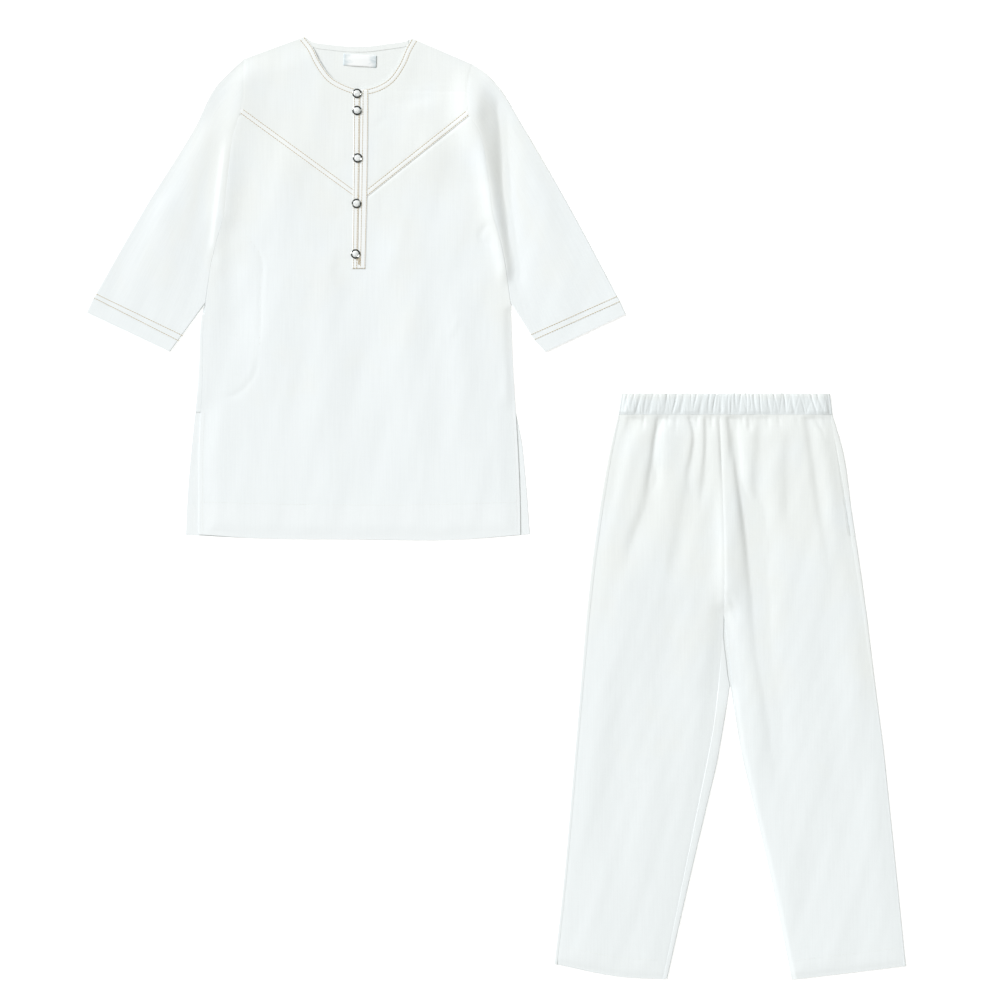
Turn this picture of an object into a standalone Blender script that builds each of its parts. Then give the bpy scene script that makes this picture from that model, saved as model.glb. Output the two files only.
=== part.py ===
"""A child's tunic and trousers, laid flat side by side on a surface.

Every cut piece of cloth is one closed wall. The back pieces lie flat on the surface, the
front pieces lie on them, and a seam is a gap of SEAM between two walls. Sizes are in
millimetres until a mesh is made. Each garment is drawn in its own plan frame: across runs
to the viewer's right and drop runs down from its top edge towards its hem. Left and right
are the viewer's, looking down on the garment.
"""

import bmesh
import bpy
import numpy as np

MM = 0.001
WALL = 1.0
SEAM = 0.3
PLAN_SEAM = 0.4
SLEEVE_SEAM = 0.7
SLANT_SEAM = 0.5
LAYER = WALL + SEAM
FOLDED = WALL + LAYER
BEND = (FOLDED - WALL) / 2
BEND_STEPS = 4
CURVE_SAMPLES = 400
MERGE = 0.0001
# A slope is read between two places this far to each side.
SLOPE_REACH = 0.5
STEEPEST_WALL = 1.5

# Where each garment's plan frame starts, as x and y on the surface.
TUNIC_PLACE = (-137.5, 472.0)
TROUSERS_PLACE = (229.5, 114.5)

# Tunic outlines. Columns: across, drop.
LEFT_TIP = (-115.2, 23.0)
RIGHT_TIP = (114.0, 28.0)
LEFT_NECK_POINT = (-54.0, 0.5)
RIGHT_NECK_POINT = (53.5, 2.0)
LEFT_YOKE_END = (-118.6, 78.0)
RIGHT_YOKE_END = (110.7, 80.0)
LEFT_UNDERARM = (-134.0, 177.0)
RIGHT_UNDERARM = (134.0, 177.0)
LEFT_JUNCTION = (-153.0, 267.0)
RIGHT_JUNCTION = (152.1, 267.0)
LEFT_SEAM_TOP = (-153.8, 277.0)
RIGHT_SEAM_TOP = (152.5, 277.0)
LEFT_SLIT_TOP = (-157.5, 376.0)
RIGHT_SLIT_TOP = (157.3, 376.0)

BACK_SCOOP = ((-46.0, 5.5), (-28.5, 8.4), (6.0, 10.3), (30.0, 7.6), (46.5, 5.0))
LEFT_NECK = ((-46.2, 10.6), (-38.5, 25.6), (-25.6, 42.2), (-14.0, 48.6))
RIGHT_NECK = ((11.9, 51.9), (28.8, 43.8), (41.3, 26.9), (48.2, 11.0))
NECK_BOTTOM = 53.3

LEFT_UPPER_ARMHOLE = (LEFT_TIP, (-115.2, 42.8), (-115.6, 61.0), LEFT_YOKE_END)
RIGHT_UPPER_ARMHOLE = (RIGHT_TIP, (110.5, 39.8), (108.3, 62.9), RIGHT_YOKE_END)
LEFT_LOWER_ARMHOLE = (LEFT_YOKE_END, (-124.5, 96.0), (-130.0, 135.0), LEFT_UNDERARM)
RIGHT_LOWER_ARMHOLE = (RIGHT_YOKE_END, (118.9, 92.4), (129.4, 138.7), RIGHT_UNDERARM)
LEFT_UPPER_SIDE = (LEFT_UNDERARM, (-146.6, 225.0), LEFT_JUNCTION)
RIGHT_UPPER_SIDE = (RIGHT_UNDERARM, (144.1, 214.5), RIGHT_JUNCTION)
LEFT_SIDE_SEAM = (LEFT_SEAM_TOP, (-155.5, 304.0), (-156.2, 354.0), LEFT_SLIT_TOP)
LEFT_SIDE_FOLD = ((-157.2, 277.0), (-158.9, 292.0), (-160.2, 330.0), (-163.6, 376.0))
RIGHT_SIDE_SEAM = (RIGHT_SEAM_TOP, (153.1, 294.0), (154.1, 321.0), RIGHT_SLIT_TOP)
LEFT_FRONT_SLIT = (LEFT_SLIT_TOP, (-159.0, 404.0), (-159.5, 464.0), (-159.5, 498.5))
LEFT_BACK_SLIT = (LEFT_SIDE_FOLD[-1], (-165.5, 394.0), (-171.5, 464.0), (-173.0, 499.0))
RIGHT_FRONT_SLIT = (RIGHT_SLIT_TOP, (160.1, 426.0), (161.4, 461.0), (162.0, 498.8))
RIGHT_BACK_SLIT = (RIGHT_SLIT_TOP, (163.5, 407.0), (166.8, 439.0), (171.5, 498.3))
HEM_LEFT = (-108.5, 502.0)
HEM_RIGHT = (103.5, 503.5)
HEM_SLIT = ((-3.2, 503.5), (-2.0, 503.5))

# Sleeve edges. The outer edge leaves the shoulder tip and the inner one the underarm.
LEFT_OUTER = ((-129.0, 35.5), (-140.0, 46.5), (-164.2, 91.8), (-211.2, 167.3))
RIGHT_OUTER = ((129.4, 38.7), (138.9, 49.2), (163.1, 88.2), (209.4, 168.2))
LEFT_CUFF_SEAM = ((-265.8, 262.6), (-181.1, 305.4))
RIGHT_CUFF_SEAM = ((262.0, 266.5), (175.9, 304.9))
LEFT_CUFF_EDGE = ((-272.4, 276.4), (-188.7, 315.8))
RIGHT_CUFF_EDGE = ((267.2, 278.0), (186.6, 315.9))

# The neck opening's slit and the two strips beside it.
SLIT_HALF = 0.6
SLIT_TOP = (-0.8, NECK_BOTTOM)
SLIT_END = (-2.6, 227.0)
LEFT_YOKE_POINT_DROP = 162.6
RIGHT_YOKE_POINT_DROP = 168.6
# Columns: drop, left edge, opening line, right edge.
PLACKET = ((53.8, -5.0, 2.3, 10.0), (140.0, -5.3, 1.2, 9.2), (233.0, -6.2, -0.4, 7.1))
PLACKET_FLAT = 12.0
# Columns: across, drop.
SNAPS = ((-1.5, 57.4), (-1.5, 74.5), (-0.9, 122.0), (-2.0, 167.5), (-3.0, 218.0))
# Profiles of a snap's ring and of its cap. Columns: radius, height.
RING_PROFILE = ((2.9, 0.95), (3.3, 1.2), (4.3, 1.2), (4.7, 0.7), (4.7, 0.0), (2.9, 0.0))
PEARL_PROFILE = ((0.0, 1.5), (1.3, 1.4), (2.2, 1.0), (2.6, 0.4), (2.6, 0.0), (0.0, 0.0))
ROUND_STEPS = 20
STRIP_STEPS = 10

FACING_WIDTH = 5.5
FACING_TAPER = 0.955
LABEL_SIZE = (33.0, 12.0)
LABEL_MIDDLE = (1.7, 25.0)
LABEL_TURN = -2.5

# Soft rises of the tunic's upper layer, on a middle line through three places.
# Columns: across at its top, middle and foot, top drop, foot drop, half width, height.
TUNIC_RISES = (
    (-70.0, -78.0, -86.0, 90.0, 420.0, 26.0, 0.9),
    (-35.0, -32.0, -40.0, 200.0, 480.0, 20.0, 0.8),
    (45.0, 52.0, 60.0, 180.0, 470.0, 24.0, 0.9),
    (96.0, 104.0, 112.0, 230.0, 480.0, 17.0, 0.8),
    (62.0, 70.0, 74.0, 60.0, 150.0, 20.0, 0.6),
    (-150.0, -178.0, -205.0, 70.0, 290.0, 17.0, 1.3),
    (168.0, 186.0, 206.0, 90.0, 290.0, 17.0, 1.2),
    (-188.0, -214.0, -236.0, 150.0, 290.0, 11.0, 0.8),
)
ARMHOLE_RISE = 2.2
ARMHOLE_REACH = 15.0
# How far in from a closed edge the upper layer comes to its full height.
SHUT_REACH = 10.0
# Rows of the mesh along each shared edge, the same in every piece that meets there.
UPPER_ARMHOLE_STEPS = 4
LOWER_ARMHOLE_STEPS = 5
UPPER_SIDE_STEPS = 4
SIDE_STEPS = 4
SLIT_STEPS = 3
CUFF_COLUMNS = UPPER_ARMHOLE_STEPS + LOWER_ARMHOLE_STEPS
FOREARM_STEPS = 5
CUFF_ROWS = 2
YOKE_NECK_STEPS = 8
YOKE_SHOULDER_STEPS = 5
BACK_NECK_COLUMNS = 10
BACK_SHOULDER_COLUMNS = 3
FRONT_HALF_COLUMNS = 12
SLIT_ROWS = 3
SHUT_STEPS = 6

# Trouser outlines. Columns: across, drop.
WAIST_SEAM = 21.0
WAISTBAND_TOP = ((-104.5, 0.0), (104.5, 0.0))
WAISTBAND_FOOT = ((-107.7, WAIST_SEAM), (107.0, WAIST_SEAM))
PANEL_TOP = WAIST_SEAM + 0.5
CENTRE_TOP = (-6.0, PANEL_TOP)
FRONT_CROTCH = (-1.7, 221.5)
CENTRE_SEAM = (CENTRE_TOP, (-3.2, 93.5), (-1.2, 190.0), FRONT_CROTCH)
BACK_CROTCH = (4.4, 292.0)
CROTCH_FOLD = (FRONT_CROTCH, (0.0, 247.0), (2.3, 272.0), BACK_CROTCH)
LEFT_OUT_FOLD = (
    ((-107.9, PANEL_TOP), (-117.0, 61.0), (-127.0, 118.5)),
    ((-127.0, 118.5), (-134.0, 170.0), (-139.6, 222.0)),
    ((-139.6, 222.0), (-144.5, 281.0), (-150.7, 355.5)),
    ((-150.7, 355.5), (-165.5, 517.5), (-171.8, 570.5)),
)
LEFT_OUT_SEAM = (
    ((-105.4, PANEL_TOP), (-113.6, 61.0), (-123.0, 118.5)),
    ((-123.0, 118.5), (-130.0, 170.0), (-135.8, 222.0)),
    ((-135.8, 222.0), (-141.0, 281.0), (-147.4, 355.5)),
    ((-147.4, 355.5), (-162.3, 517.5), (-168.4, 571.0)),
)
LEFT_IN_FOLD = (
    (BACK_CROTCH, (-1.5, 330.0), (-8.5, 370.0)),
    ((-8.5, 370.0), (-36.2, 487.5), (-58.2, 584.8)),
)
LEFT_IN_SEAM = (
    ((-1.7, 221.5), (-4.0, 256.0), (-7.2, 292.0)),
    ((-7.2, 292.0), (-12.2, 333.0), (-19.0, 370.0)),
    ((-19.0, 370.0), (-45.6, 502.0), (-62.4, 585.6)),
)
RIGHT_IN_EDGE = (
    (FRONT_CROTCH, (2.0, 246.5), (7.2, 290.5)),
    ((7.2, 290.5), (11.9, 338.0), (17.8, 370.0)),
    ((17.8, 370.0), (44.3, 480.0), (66.2, 586.2)),
)
RIGHT_OUT_FOLD = (
    ((107.0, PANEL_TOP), (117.0, 55.4), (126.4, 118.5)),
    ((126.4, 118.5), (135.3, 177.5), (141.5, 222.0)),
    ((141.5, 222.0), (149.4, 287.0), (158.3, 355.5)),
    ((158.3, 355.5), (169.9, 467.5), (180.5, 572.3)),
)
RIGHT_OUT_SEAM = (
    ((104.4, PANEL_TOP), (111.4, 55.4), (121.6, 118.5)),
    ((121.6, 118.5), (130.7, 177.5), (137.3, 222.0)),
    ((137.3, 222.0), (146.6, 287.0), (156.0, 355.5)),
    ((156.0, 355.5), (167.8, 467.5), (178.2, 572.7)),
)
LEFT_HEM_MIDDLE = (-103.5, 583.5)
RIGHT_HEM_MIDDLE = (123.9, 579.5)
# Rows of the mesh along the outer and the inner edge of a leg, finer where the gathers are.
OUT_STEPS = (8, 6, 4, 4)
CENTRE_STEPS = 14
IN_STEPS = (2, 2, 4)
FRONT_COLUMNS = 22
BACK_COLUMNS = 6

# Troughs of the gathered trouser fronts, each on a line through three places.
# Columns: across at its top, middle and foot, top drop, foot drop, half width, depth.
TROUSER_TROUGHS = (
    (-90.7, -114.0, -128.0, 21.0, 150.0, 7.0, 1.9),
    (-66.6, -76.0, -95.0, 21.0, 150.0, 5.0, 3.2),
    (-38.0, -38.0, -33.0, 21.0, 146.0, 5.0, 2.1),
    (-20.7, -23.0, -29.0, 21.0, 126.0, 4.5, 1.8),
    (6.0, 33.0, 79.0, 21.0, 520.0, 7.0, 3.3),
    (32.5, 30.0, 56.0, 21.0, 205.0, 6.0, 1.9),
    (60.0, 60.0, 60.0, 30.0, 150.0, 6.0, 1.4),
    (80.0, 93.0, 105.0, 21.0, 200.0, 6.0, 2.0),
    (-46.0, -60.0, -66.0, 190.0, 400.0, 14.0, 0.8),
    (-100.0, -112.0, -120.0, 260.0, 500.0, 14.0, 0.6),
)
LOFT_AT_HEM = 0.6
LOFT_AT_WAIST = 3.0
LOFT_REACH = 120.0
GATHER_COUNT = 27
GATHER_HEIGHT = 1.25
GATHER_LOFT = 2.2
GATHER_LEAN = 0.04
# What makes the gathers uneven. Columns: shift, length of its wave, start of its wave.
GATHER_SHIFTS = ((1.6, 13.7, 0.0), (1.0, 5.3, 1.2))
GATHER_REACH = 4.0
BAND_COLUMNS = GATHER_COUNT * 4
BAND_ROWS = 3
BAND_LOWER_EVERY = 12

# Colour as red, green and blue from 0 to 1, roughness, metallic value.
FINISHES = {
    "cloth": ((0.90, 0.92, 0.93), 0.9, 0.0),
    "label_cloth": ((0.88, 0.9, 0.9), 0.7, 0.0),
    "snap_metal": ((0.45, 0.46, 0.44), 0.3, 1.0),
    "pearl": ((0.86, 0.87, 0.85), 0.25, 0.0),
}


def smooth(rows, steps):
    """Places evenly spaced along a smooth curve through the rows, both ends included."""
    places = np.array(rows, dtype=float)
    knots = np.concatenate([[0.0], np.cumsum(np.linalg.norm(np.diff(places, axis=0), axis=1))])
    if len(places) == 2:
        slopes = np.repeat((places[1:] - places[:1]) / knots[-1], 2, axis=0)
    else:
        slopes = np.gradient(places, knots, axis=0)
    along = np.linspace(0.0, knots[-1], CURVE_SAMPLES)
    span = np.clip(np.searchsorted(knots, along, side="right") - 1, 0, len(places) - 2)
    length = (knots[span + 1] - knots[span])[:, None]
    part = (along - knots[span])[:, None] / length
    fine = (
        places[span] * (1 + 2 * part) * (1 - part) ** 2
        + slopes[span] * length * part * (1 - part) ** 2
        + places[span + 1] * part**2 * (3 - 2 * part)
        + slopes[span + 1] * length * part**2 * (part - 1)
    )
    walked = np.concatenate([[0.0], np.cumsum(np.linalg.norm(np.diff(fine, axis=0), axis=1))])
    stops = np.linspace(0.0, walked[-1], steps + 1)
    return np.column_stack([np.interp(stops, walked, fine[:, axis]) for axis in (0, 1)])


def walk(*stretches):
    """Joins stretches, each a pair of rows and steps, and keeps the corner between two."""
    runs = [smooth(rows, steps) for rows, steps in stretches]
    return np.concatenate([runs[0]] + [run[1:] for run in runs[1:]])


def moved(places, across=0.0, drop=0.0):
    """The same places, shifted in the plan."""
    return np.array(places, dtype=float) + (across, drop)


def share(run):
    """How far along its run each place lies, from 0 to 1."""
    walked = np.concatenate([[0.0], np.cumsum(np.linalg.norm(np.diff(run, axis=0), axis=1))])
    return walked / walked[-1]


def patch(top, bottom, left, right):
    """Fills four edges with a grid of places: rows run from top to bottom, columns left to right."""
    s = ((share(top) + share(bottom)) / 2)[None, :, None]
    t = ((share(left) + share(right)) / 2)[:, None, None]
    between_ends = (1 - t) * top[None] + t * bottom[None]
    between_sides = (1 - s) * left[:, None] + s * right[:, None]
    upper = (1 - s) * top[0] + s * top[-1]
    lower = (1 - s) * bottom[0] + s * bottom[-1]
    return between_ends + between_sides - (1 - t) * upper - t * lower


def distance(plan, run):
    """How far each place of a grid is from a run of straight pieces."""
    starts, steps = run[:-1], np.diff(run, axis=0)
    apart = plan[..., None, :] - starts
    part = np.clip((apart * steps).sum(-1) / (steps * steps).sum(-1), 0.0, 1.0)
    return np.linalg.norm(apart - part[..., None] * steps, axis=-1).min(-1)


def held_down(plan, runs, reach, margin=0.0):
    """Goes from 0 on the runs, and within the margin of them, to 1 well away from them."""
    nearest = np.min([distance(plan, run) for run in runs], axis=0)
    return 1 - np.exp(-((np.maximum(nearest - margin, 0.0) / reach) ** 2))


def ridges(plan, table):
    """Adds up the table's soft ridges, each fading out towards its foot."""
    across, drop = plan[..., 0], plan[..., 1]
    total = np.zeros(across.shape)
    for top, middle, foot, top_drop, foot_drop, half_width, height in table:
        u = np.clip((drop - top_drop) / (foot_drop - top_drop), -0.2, 1.2)
        line = top * (1 - u) * (1 - 2 * u) + 4 * middle * u * (1 - u) + foot * u * (2 * u - 1)
        fade = np.clip((1.1 - u) / 0.5, 0.0, 1.0) * np.clip((u + 0.2) / 0.2, 0.0, 1.0)
        fade = fade * fade * (3 - 2 * fade)
        total += height * fade * np.exp(-(((across - line) / half_width) ** 2))
    return total


def finish(node, kind):
    """A material of the node's own."""
    colour, roughness, metallic = FINISHES[kind]
    material = bpy.data.materials.new(f"{node}_{kind}")
    material.use_nodes = True
    shader = material.node_tree.nodes["Principled BSDF"]
    shader.inputs["Base Color"].default_value = (*colour, 1.0)
    shader.inputs["Roughness"].default_value = roughness
    shader.inputs["Metallic"].default_value = metallic
    material.diffuse_color = (*colour, 1.0)
    return material


def add_node(name, bm, garment, kind="cloth"):
    """Makes the sub-part's object from the mesh, which is in millimetres, and hangs it on its garment."""
    bmesh.ops.scale(bm, vec=(MM, MM, MM), verts=bm.verts)
    mesh = bpy.data.meshes.new(name)
    bm.to_mesh(mesh)
    bm.free()
    mesh.shade_smooth()
    node = bpy.data.objects.new(name, mesh)
    node.data.materials.append(finish(name, kind))
    node.parent = garment
    garment.users_collection[0].objects.link(node)
    return node


def add_grid(bm, places):
    """Adds a sheet through an array of places, whose rows and columns give its faces."""
    rows, columns = places.shape[:2]
    made = bmesh.ops.create_grid(bm, x_segments=columns - 1, y_segments=rows - 1, size=1.0)
    for vert, place in zip(made["verts"], places.reshape(-1, 3)):
        vert.co = place
    return made["verts"]


def standing(plan, height):
    """Turns places in the plan into places in space, with y running up the garment."""
    return np.stack([plan[..., 0], -plan[..., 1], np.broadcast_to(height, plan.shape[:-1])], axis=-1)


def front_layer(name, plan, relief, garment, slit=None):
    """A wall on the upper layer. It is raised straight up, so that its outline stays as drawn.

    A slit is a column of the grid and how many of its rows, from the top, are cut out.
    """
    bm = bmesh.new()
    add_grid(bm, standing(plan, LAYER + relief(plan)))
    if slit is not None:
        column, rows = slit
        bm.faces.ensure_lookup_table()
        gone = [bm.faces[row * (plan.shape[1] - 1) + column] for row in range(rows)]
        bmesh.ops.delete(bm, geom=gone, context="FACES")
    made = bmesh.ops.extrude_face_region(bm, geom=bm.faces[:])
    raised = [item for item in made["geom"] if isinstance(item, bmesh.types.BMVert)]
    above = np.array([(vert.co.x, -vert.co.y) for vert in raised])
    for vert, rise in zip(raised, upright_wall(above, relief)):
        vert.co.z += rise
    bmesh.ops.recalc_face_normals(bm, faces=bm.faces)
    return add_node(name, bm, garment)


def upright_wall(plan, relief):
    """The wall's height straight up, more on a slope, so that it stays WALL thick."""
    steepness = np.hypot(
        relief(moved(plan, across=SLOPE_REACH)) - relief(moved(plan, across=-SLOPE_REACH)),
        relief(moved(plan, drop=SLOPE_REACH)) - relief(moved(plan, drop=-SLOPE_REACH)),
    )
    steepness /= 2 * SLOPE_REACH
    return WALL * np.minimum(np.hypot(1.0, steepness), STEEPEST_WALL)


def thicken(node):
    """Gives a middle surface its wall, half to each side."""
    wall = node.modifiers.new("wall", "SOLIDIFY")
    wall.thickness = WALL * MM
    wall.offset = 0.0
    wall.use_even_offset = True
    wall.use_quality_normals = True
    return node


def turned_edge(rim, inward, end):
    """Middle surface of cloth that folds up at the rim, over, and on to the end places.

    The rim is the outline, inward the unit vectors into the sheet. Columns run from the
    lower layer round the fold to the end, on the upper layer.
    """
    angles = np.radians(np.linspace(-90.0, 90.0, BEND_STEPS + 1))
    columns = []
    for angle in angles:
        inset = WALL / 2 + BEND * (1 - np.cos(angle))
        share_up = (np.sin(angle) + 1) / 2
        height = WALL / 2 + share_up * 2 * BEND
        columns.append(standing(rim + inward * inset, height))
    columns.append(standing(end, WALL / 2 + 2 * BEND))
    return np.stack(columns, axis=1)


def unit(steps):
    """The same steps, each 1 long."""
    return steps / np.linalg.norm(steps, axis=-1, keepdims=True)


def back_layer(name, plan, garment, left_turn=None, right_turn=None):
    """A flat wall on the surface. A turn folds a stretch of one side edge up onto the front.

    A turn is the first row that folds, the last, and where the folded edge meets the seam.
    """
    plan = plan.copy()
    sheets = []
    for turn, rim_column, next_column in ((left_turn, 0, 1), (right_turn, -1, -2)):
        if turn is None:
            continue
        first, last, seam = turn
        rows = slice(first, last + 1)
        rim = plan[rows, rim_column].copy()
        inward = unit(plan[rows, next_column] - rim)
        end = seam - inward * PLAN_SEAM
        sheets.append(turned_edge(rim, inward, end))
        plan[rows, rim_column] = rim + inward * (WALL / 2 + BEND)
    bm = bmesh.new()
    add_grid(bm, standing(plan, WALL / 2))
    for sheet in sheets:
        add_grid(bm, sheet)
    bmesh.ops.remove_doubles(bm, verts=bm.verts, dist=MERGE)
    bmesh.ops.recalc_face_normals(bm, faces=bm.faces)
    return thicken(add_node(name, bm, garment))


def flat_tube(name, plan, relief, garment, lower_every=1):
    """A tube pressed flat, whose rings run across the plan's rows. Its upper half has the relief."""
    left, right = plan[:, 0], plan[:, -1]
    left_in = unit(plan[:, 1] - left)
    right_in = unit(plan[:, -2] - right)
    upper = plan[:, 1:-1]
    upper_places = standing(upper, WALL / 2 + LAYER + relief(upper))
    right_edge = turned_edge(right, right_in, upper[:, -1])[:, ::-1][:, 1:]
    left_edge = turned_edge(left, left_in, upper[:, 0])[:, :-1]
    lower = standing(upper[:, ::-1][:, lower_every // 2 :: lower_every], WALL / 2)
    ring = np.concatenate([upper_places, right_edge, lower, left_edge], axis=1)
    ring = np.concatenate([ring, ring[:, :1]], axis=1)
    bm = bmesh.new()
    add_grid(bm, ring)
    bmesh.ops.remove_doubles(bm, verts=bm.verts, dist=MERGE)
    bmesh.ops.recalc_face_normals(bm, faces=bm.faces)
    return thicken(add_node(name, bm, garment))


def strip(name, plan, base, garment, kind="cloth"):
    """A flat strip of cloth lying at the base height."""
    bm = bmesh.new()
    add_grid(bm, standing(plan, base + WALL / 2))
    return thicken(add_node(name, bm, garment, kind))


def turned_piece(name, profile, place, garment, kind):
    """A round piece from its closed or open profile of radius and height, down its outer side."""
    bm = bmesh.new()
    verts = [bm.verts.new((radius, 0.0, height)) for radius, height in profile]
    for one, other in zip(verts, verts[1:]):
        bm.edges.new((one, other))
    if profile[0][0] > 0.0:
        bm.edges.new((verts[-1], verts[0]))
    node = add_node(name, bm, garment, kind)
    across, drop, base = place
    node.location = (across * MM, -drop * MM, base * MM)
    spin = node.modifiers.new("turn", "SCREW")
    spin.steps = ROUND_STEPS
    spin.render_steps = ROUND_STEPS
    spin.use_merge_vertices = True
    spin.merge_threshold = MERGE
    return node


def slit_side(drop, side):
    """A place on the neck slit's left side, -1, or its right side, 1."""
    middle = np.interp(drop, (SLIT_TOP[1], SLIT_END[1]), (SLIT_TOP[0], SLIT_END[0]))
    return (float(middle) + side * SLIT_HALF, drop)


def below(place):
    """The same place, a seam's gap further down a slanting seam."""
    return (place[0], place[1] + SLANT_SEAM)


def tunic_sides(left_rows, right_rows, steps):
    """Both side edges of a tunic piece, each from its stretches of rows."""
    return walk(*zip(left_rows, steps)), walk(*zip(right_rows, steps))


def build_tunic_back(garment):
    """The back, whose left edge is folded onto the front between the sleeve and the slit."""
    left, right = tunic_sides(
        (
            LEFT_UPPER_ARMHOLE,
            LEFT_LOWER_ARMHOLE,
            LEFT_UPPER_SIDE,
            (LEFT_JUNCTION, LEFT_SIDE_FOLD[0]),
            LEFT_SIDE_FOLD,
            LEFT_BACK_SLIT,
        ),
        (
            RIGHT_UPPER_ARMHOLE,
            RIGHT_LOWER_ARMHOLE,
            RIGHT_UPPER_SIDE,
            (RIGHT_JUNCTION, RIGHT_SEAM_TOP),
            RIGHT_SIDE_SEAM,
            RIGHT_BACK_SLIT,
        ),
        (UPPER_ARMHOLE_STEPS, LOWER_ARMHOLE_STEPS, UPPER_SIDE_STEPS, 1, SIDE_STEPS, SLIT_STEPS),
    )
    top = walk(
        ((LEFT_TIP, LEFT_NECK_POINT), BACK_SHOULDER_COLUMNS),
        ((LEFT_NECK_POINT, *BACK_SCOOP, RIGHT_NECK_POINT), BACK_NECK_COLUMNS),
        ((RIGHT_NECK_POINT, RIGHT_TIP), BACK_SHOULDER_COLUMNS),
    )
    hem_rows = (LEFT_BACK_SLIT[-1], HEM_LEFT, HEM_SLIT[0], HEM_RIGHT, RIGHT_BACK_SLIT[-1])
    hem = smooth(hem_rows, BACK_NECK_COLUMNS + 2 * BACK_SHOULDER_COLUMNS)
    first = UPPER_ARMHOLE_STEPS + LOWER_ARMHOLE_STEPS + UPPER_SIDE_STEPS + 1
    seam = smooth(LEFT_SIDE_SEAM, SIDE_STEPS)
    turn = (first, first + SIDE_STEPS, seam)
    back_layer("tunic_back", patch(top, hem, left, right), garment, left_turn=turn)


def build_tunic_fronts(garment, relief):
    """The two yokes, and the front below their slanting seams."""
    neck_left, neck_right = slit_side(NECK_BOTTOM, -1), slit_side(NECK_BOTTOM, 1)
    point_left, point_right = slit_side(LEFT_YOKE_POINT_DROP, -1), slit_side(RIGHT_YOKE_POINT_DROP, 1)
    left_yoke = patch(
        walk(
            ((LEFT_TIP, LEFT_NECK_POINT), YOKE_SHOULDER_STEPS),
            ((LEFT_NECK_POINT, *LEFT_NECK, neck_left), YOKE_NECK_STEPS),
        ),
        smooth((LEFT_YOKE_END, point_left), YOKE_SHOULDER_STEPS + YOKE_NECK_STEPS),
        smooth(LEFT_UPPER_ARMHOLE, UPPER_ARMHOLE_STEPS),
        smooth((neck_left, point_left), UPPER_ARMHOLE_STEPS),
    )
    front_layer("tunic_yoke_left", left_yoke, relief, garment)
    right_yoke = patch(
        walk(
            ((neck_right, *RIGHT_NECK, RIGHT_NECK_POINT), YOKE_NECK_STEPS),
            ((RIGHT_NECK_POINT, RIGHT_TIP), YOKE_SHOULDER_STEPS),
        ),
        smooth((point_right, RIGHT_YOKE_END), YOKE_SHOULDER_STEPS + YOKE_NECK_STEPS),
        smooth((neck_right, point_right), UPPER_ARMHOLE_STEPS),
        smooth(RIGHT_UPPER_ARMHOLE, UPPER_ARMHOLE_STEPS),
    )
    front_layer("tunic_yoke_right", right_yoke, relief, garment)
    left, right = tunic_sides(
        (
            (below(LEFT_YOKE_END), *LEFT_LOWER_ARMHOLE[1:]),
            LEFT_UPPER_SIDE,
            (LEFT_JUNCTION, LEFT_SEAM_TOP),
            LEFT_SIDE_SEAM,
            LEFT_FRONT_SLIT,
        ),
        (
            (below(RIGHT_YOKE_END), *RIGHT_LOWER_ARMHOLE[1:]),
            RIGHT_UPPER_SIDE,
            (RIGHT_JUNCTION, RIGHT_SEAM_TOP),
            RIGHT_SIDE_SEAM,
            RIGHT_FRONT_SLIT,
        ),
        (LOWER_ARMHOLE_STEPS, UPPER_SIDE_STEPS, 1, SIDE_STEPS, SLIT_STEPS),
    )
    top = walk(
        ((below(LEFT_YOKE_END), below(point_left)), FRONT_HALF_COLUMNS),
        ((below(point_left), below(point_right)), 1),
        ((below(point_right), below(RIGHT_YOKE_END)), FRONT_HALF_COLUMNS),
    )
    hem = walk(
        ((LEFT_FRONT_SLIT[-1], HEM_LEFT, HEM_SLIT[0]), FRONT_HALF_COLUMNS),
        (HEM_SLIT, 1),
        ((HEM_SLIT[1], HEM_RIGHT, RIGHT_FRONT_SLIT[-1]), FRONT_HALF_COLUMNS),
    )
    slit = (FRONT_HALF_COLUMNS, SLIT_ROWS)
    front_layer("tunic_front", patch(top, hem, left, right), relief, garment, slit)


def build_sleeve(side, armhole, outer, inner, cuff_seam, cuff_edge, garment, relief):
    """A sleeve and its cuff, each a tube pressed flat between its outer and its inner edge."""
    clear = SLEEVE_SEAM if side == "right" else -SLEEVE_SEAM
    upper, lower = (moved(rows, across=clear) for rows in armhole)
    under = moved(inner, across=clear)
    plan = patch(
        walk((upper, UPPER_ARMHOLE_STEPS), (lower, LOWER_ARMHOLE_STEPS)),
        smooth(cuff_seam, CUFF_COLUMNS),
        smooth((upper[0], *outer, cuff_seam[0]), UPPER_SIDE_STEPS + FOREARM_STEPS),
        walk((under, UPPER_SIDE_STEPS), ((under[-1], cuff_seam[1]), FOREARM_STEPS)),
    )
    flat_tube(f"tunic_sleeve_{side}", plan, relief, garment)
    seam = np.array(cuff_seam)
    edge = np.array(cuff_edge)
    along = unit(edge - seam)
    top = seam + along * PLAN_SEAM
    cuff = patch(
        smooth(top, CUFF_COLUMNS),
        smooth(edge, CUFF_COLUMNS),
        smooth((top[0], edge[0]), CUFF_ROWS),
        smooth((top[1], edge[1]), CUFF_ROWS),
    )
    flat_tube(f"tunic_cuff_{side}", cuff, relief, garment)


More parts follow.
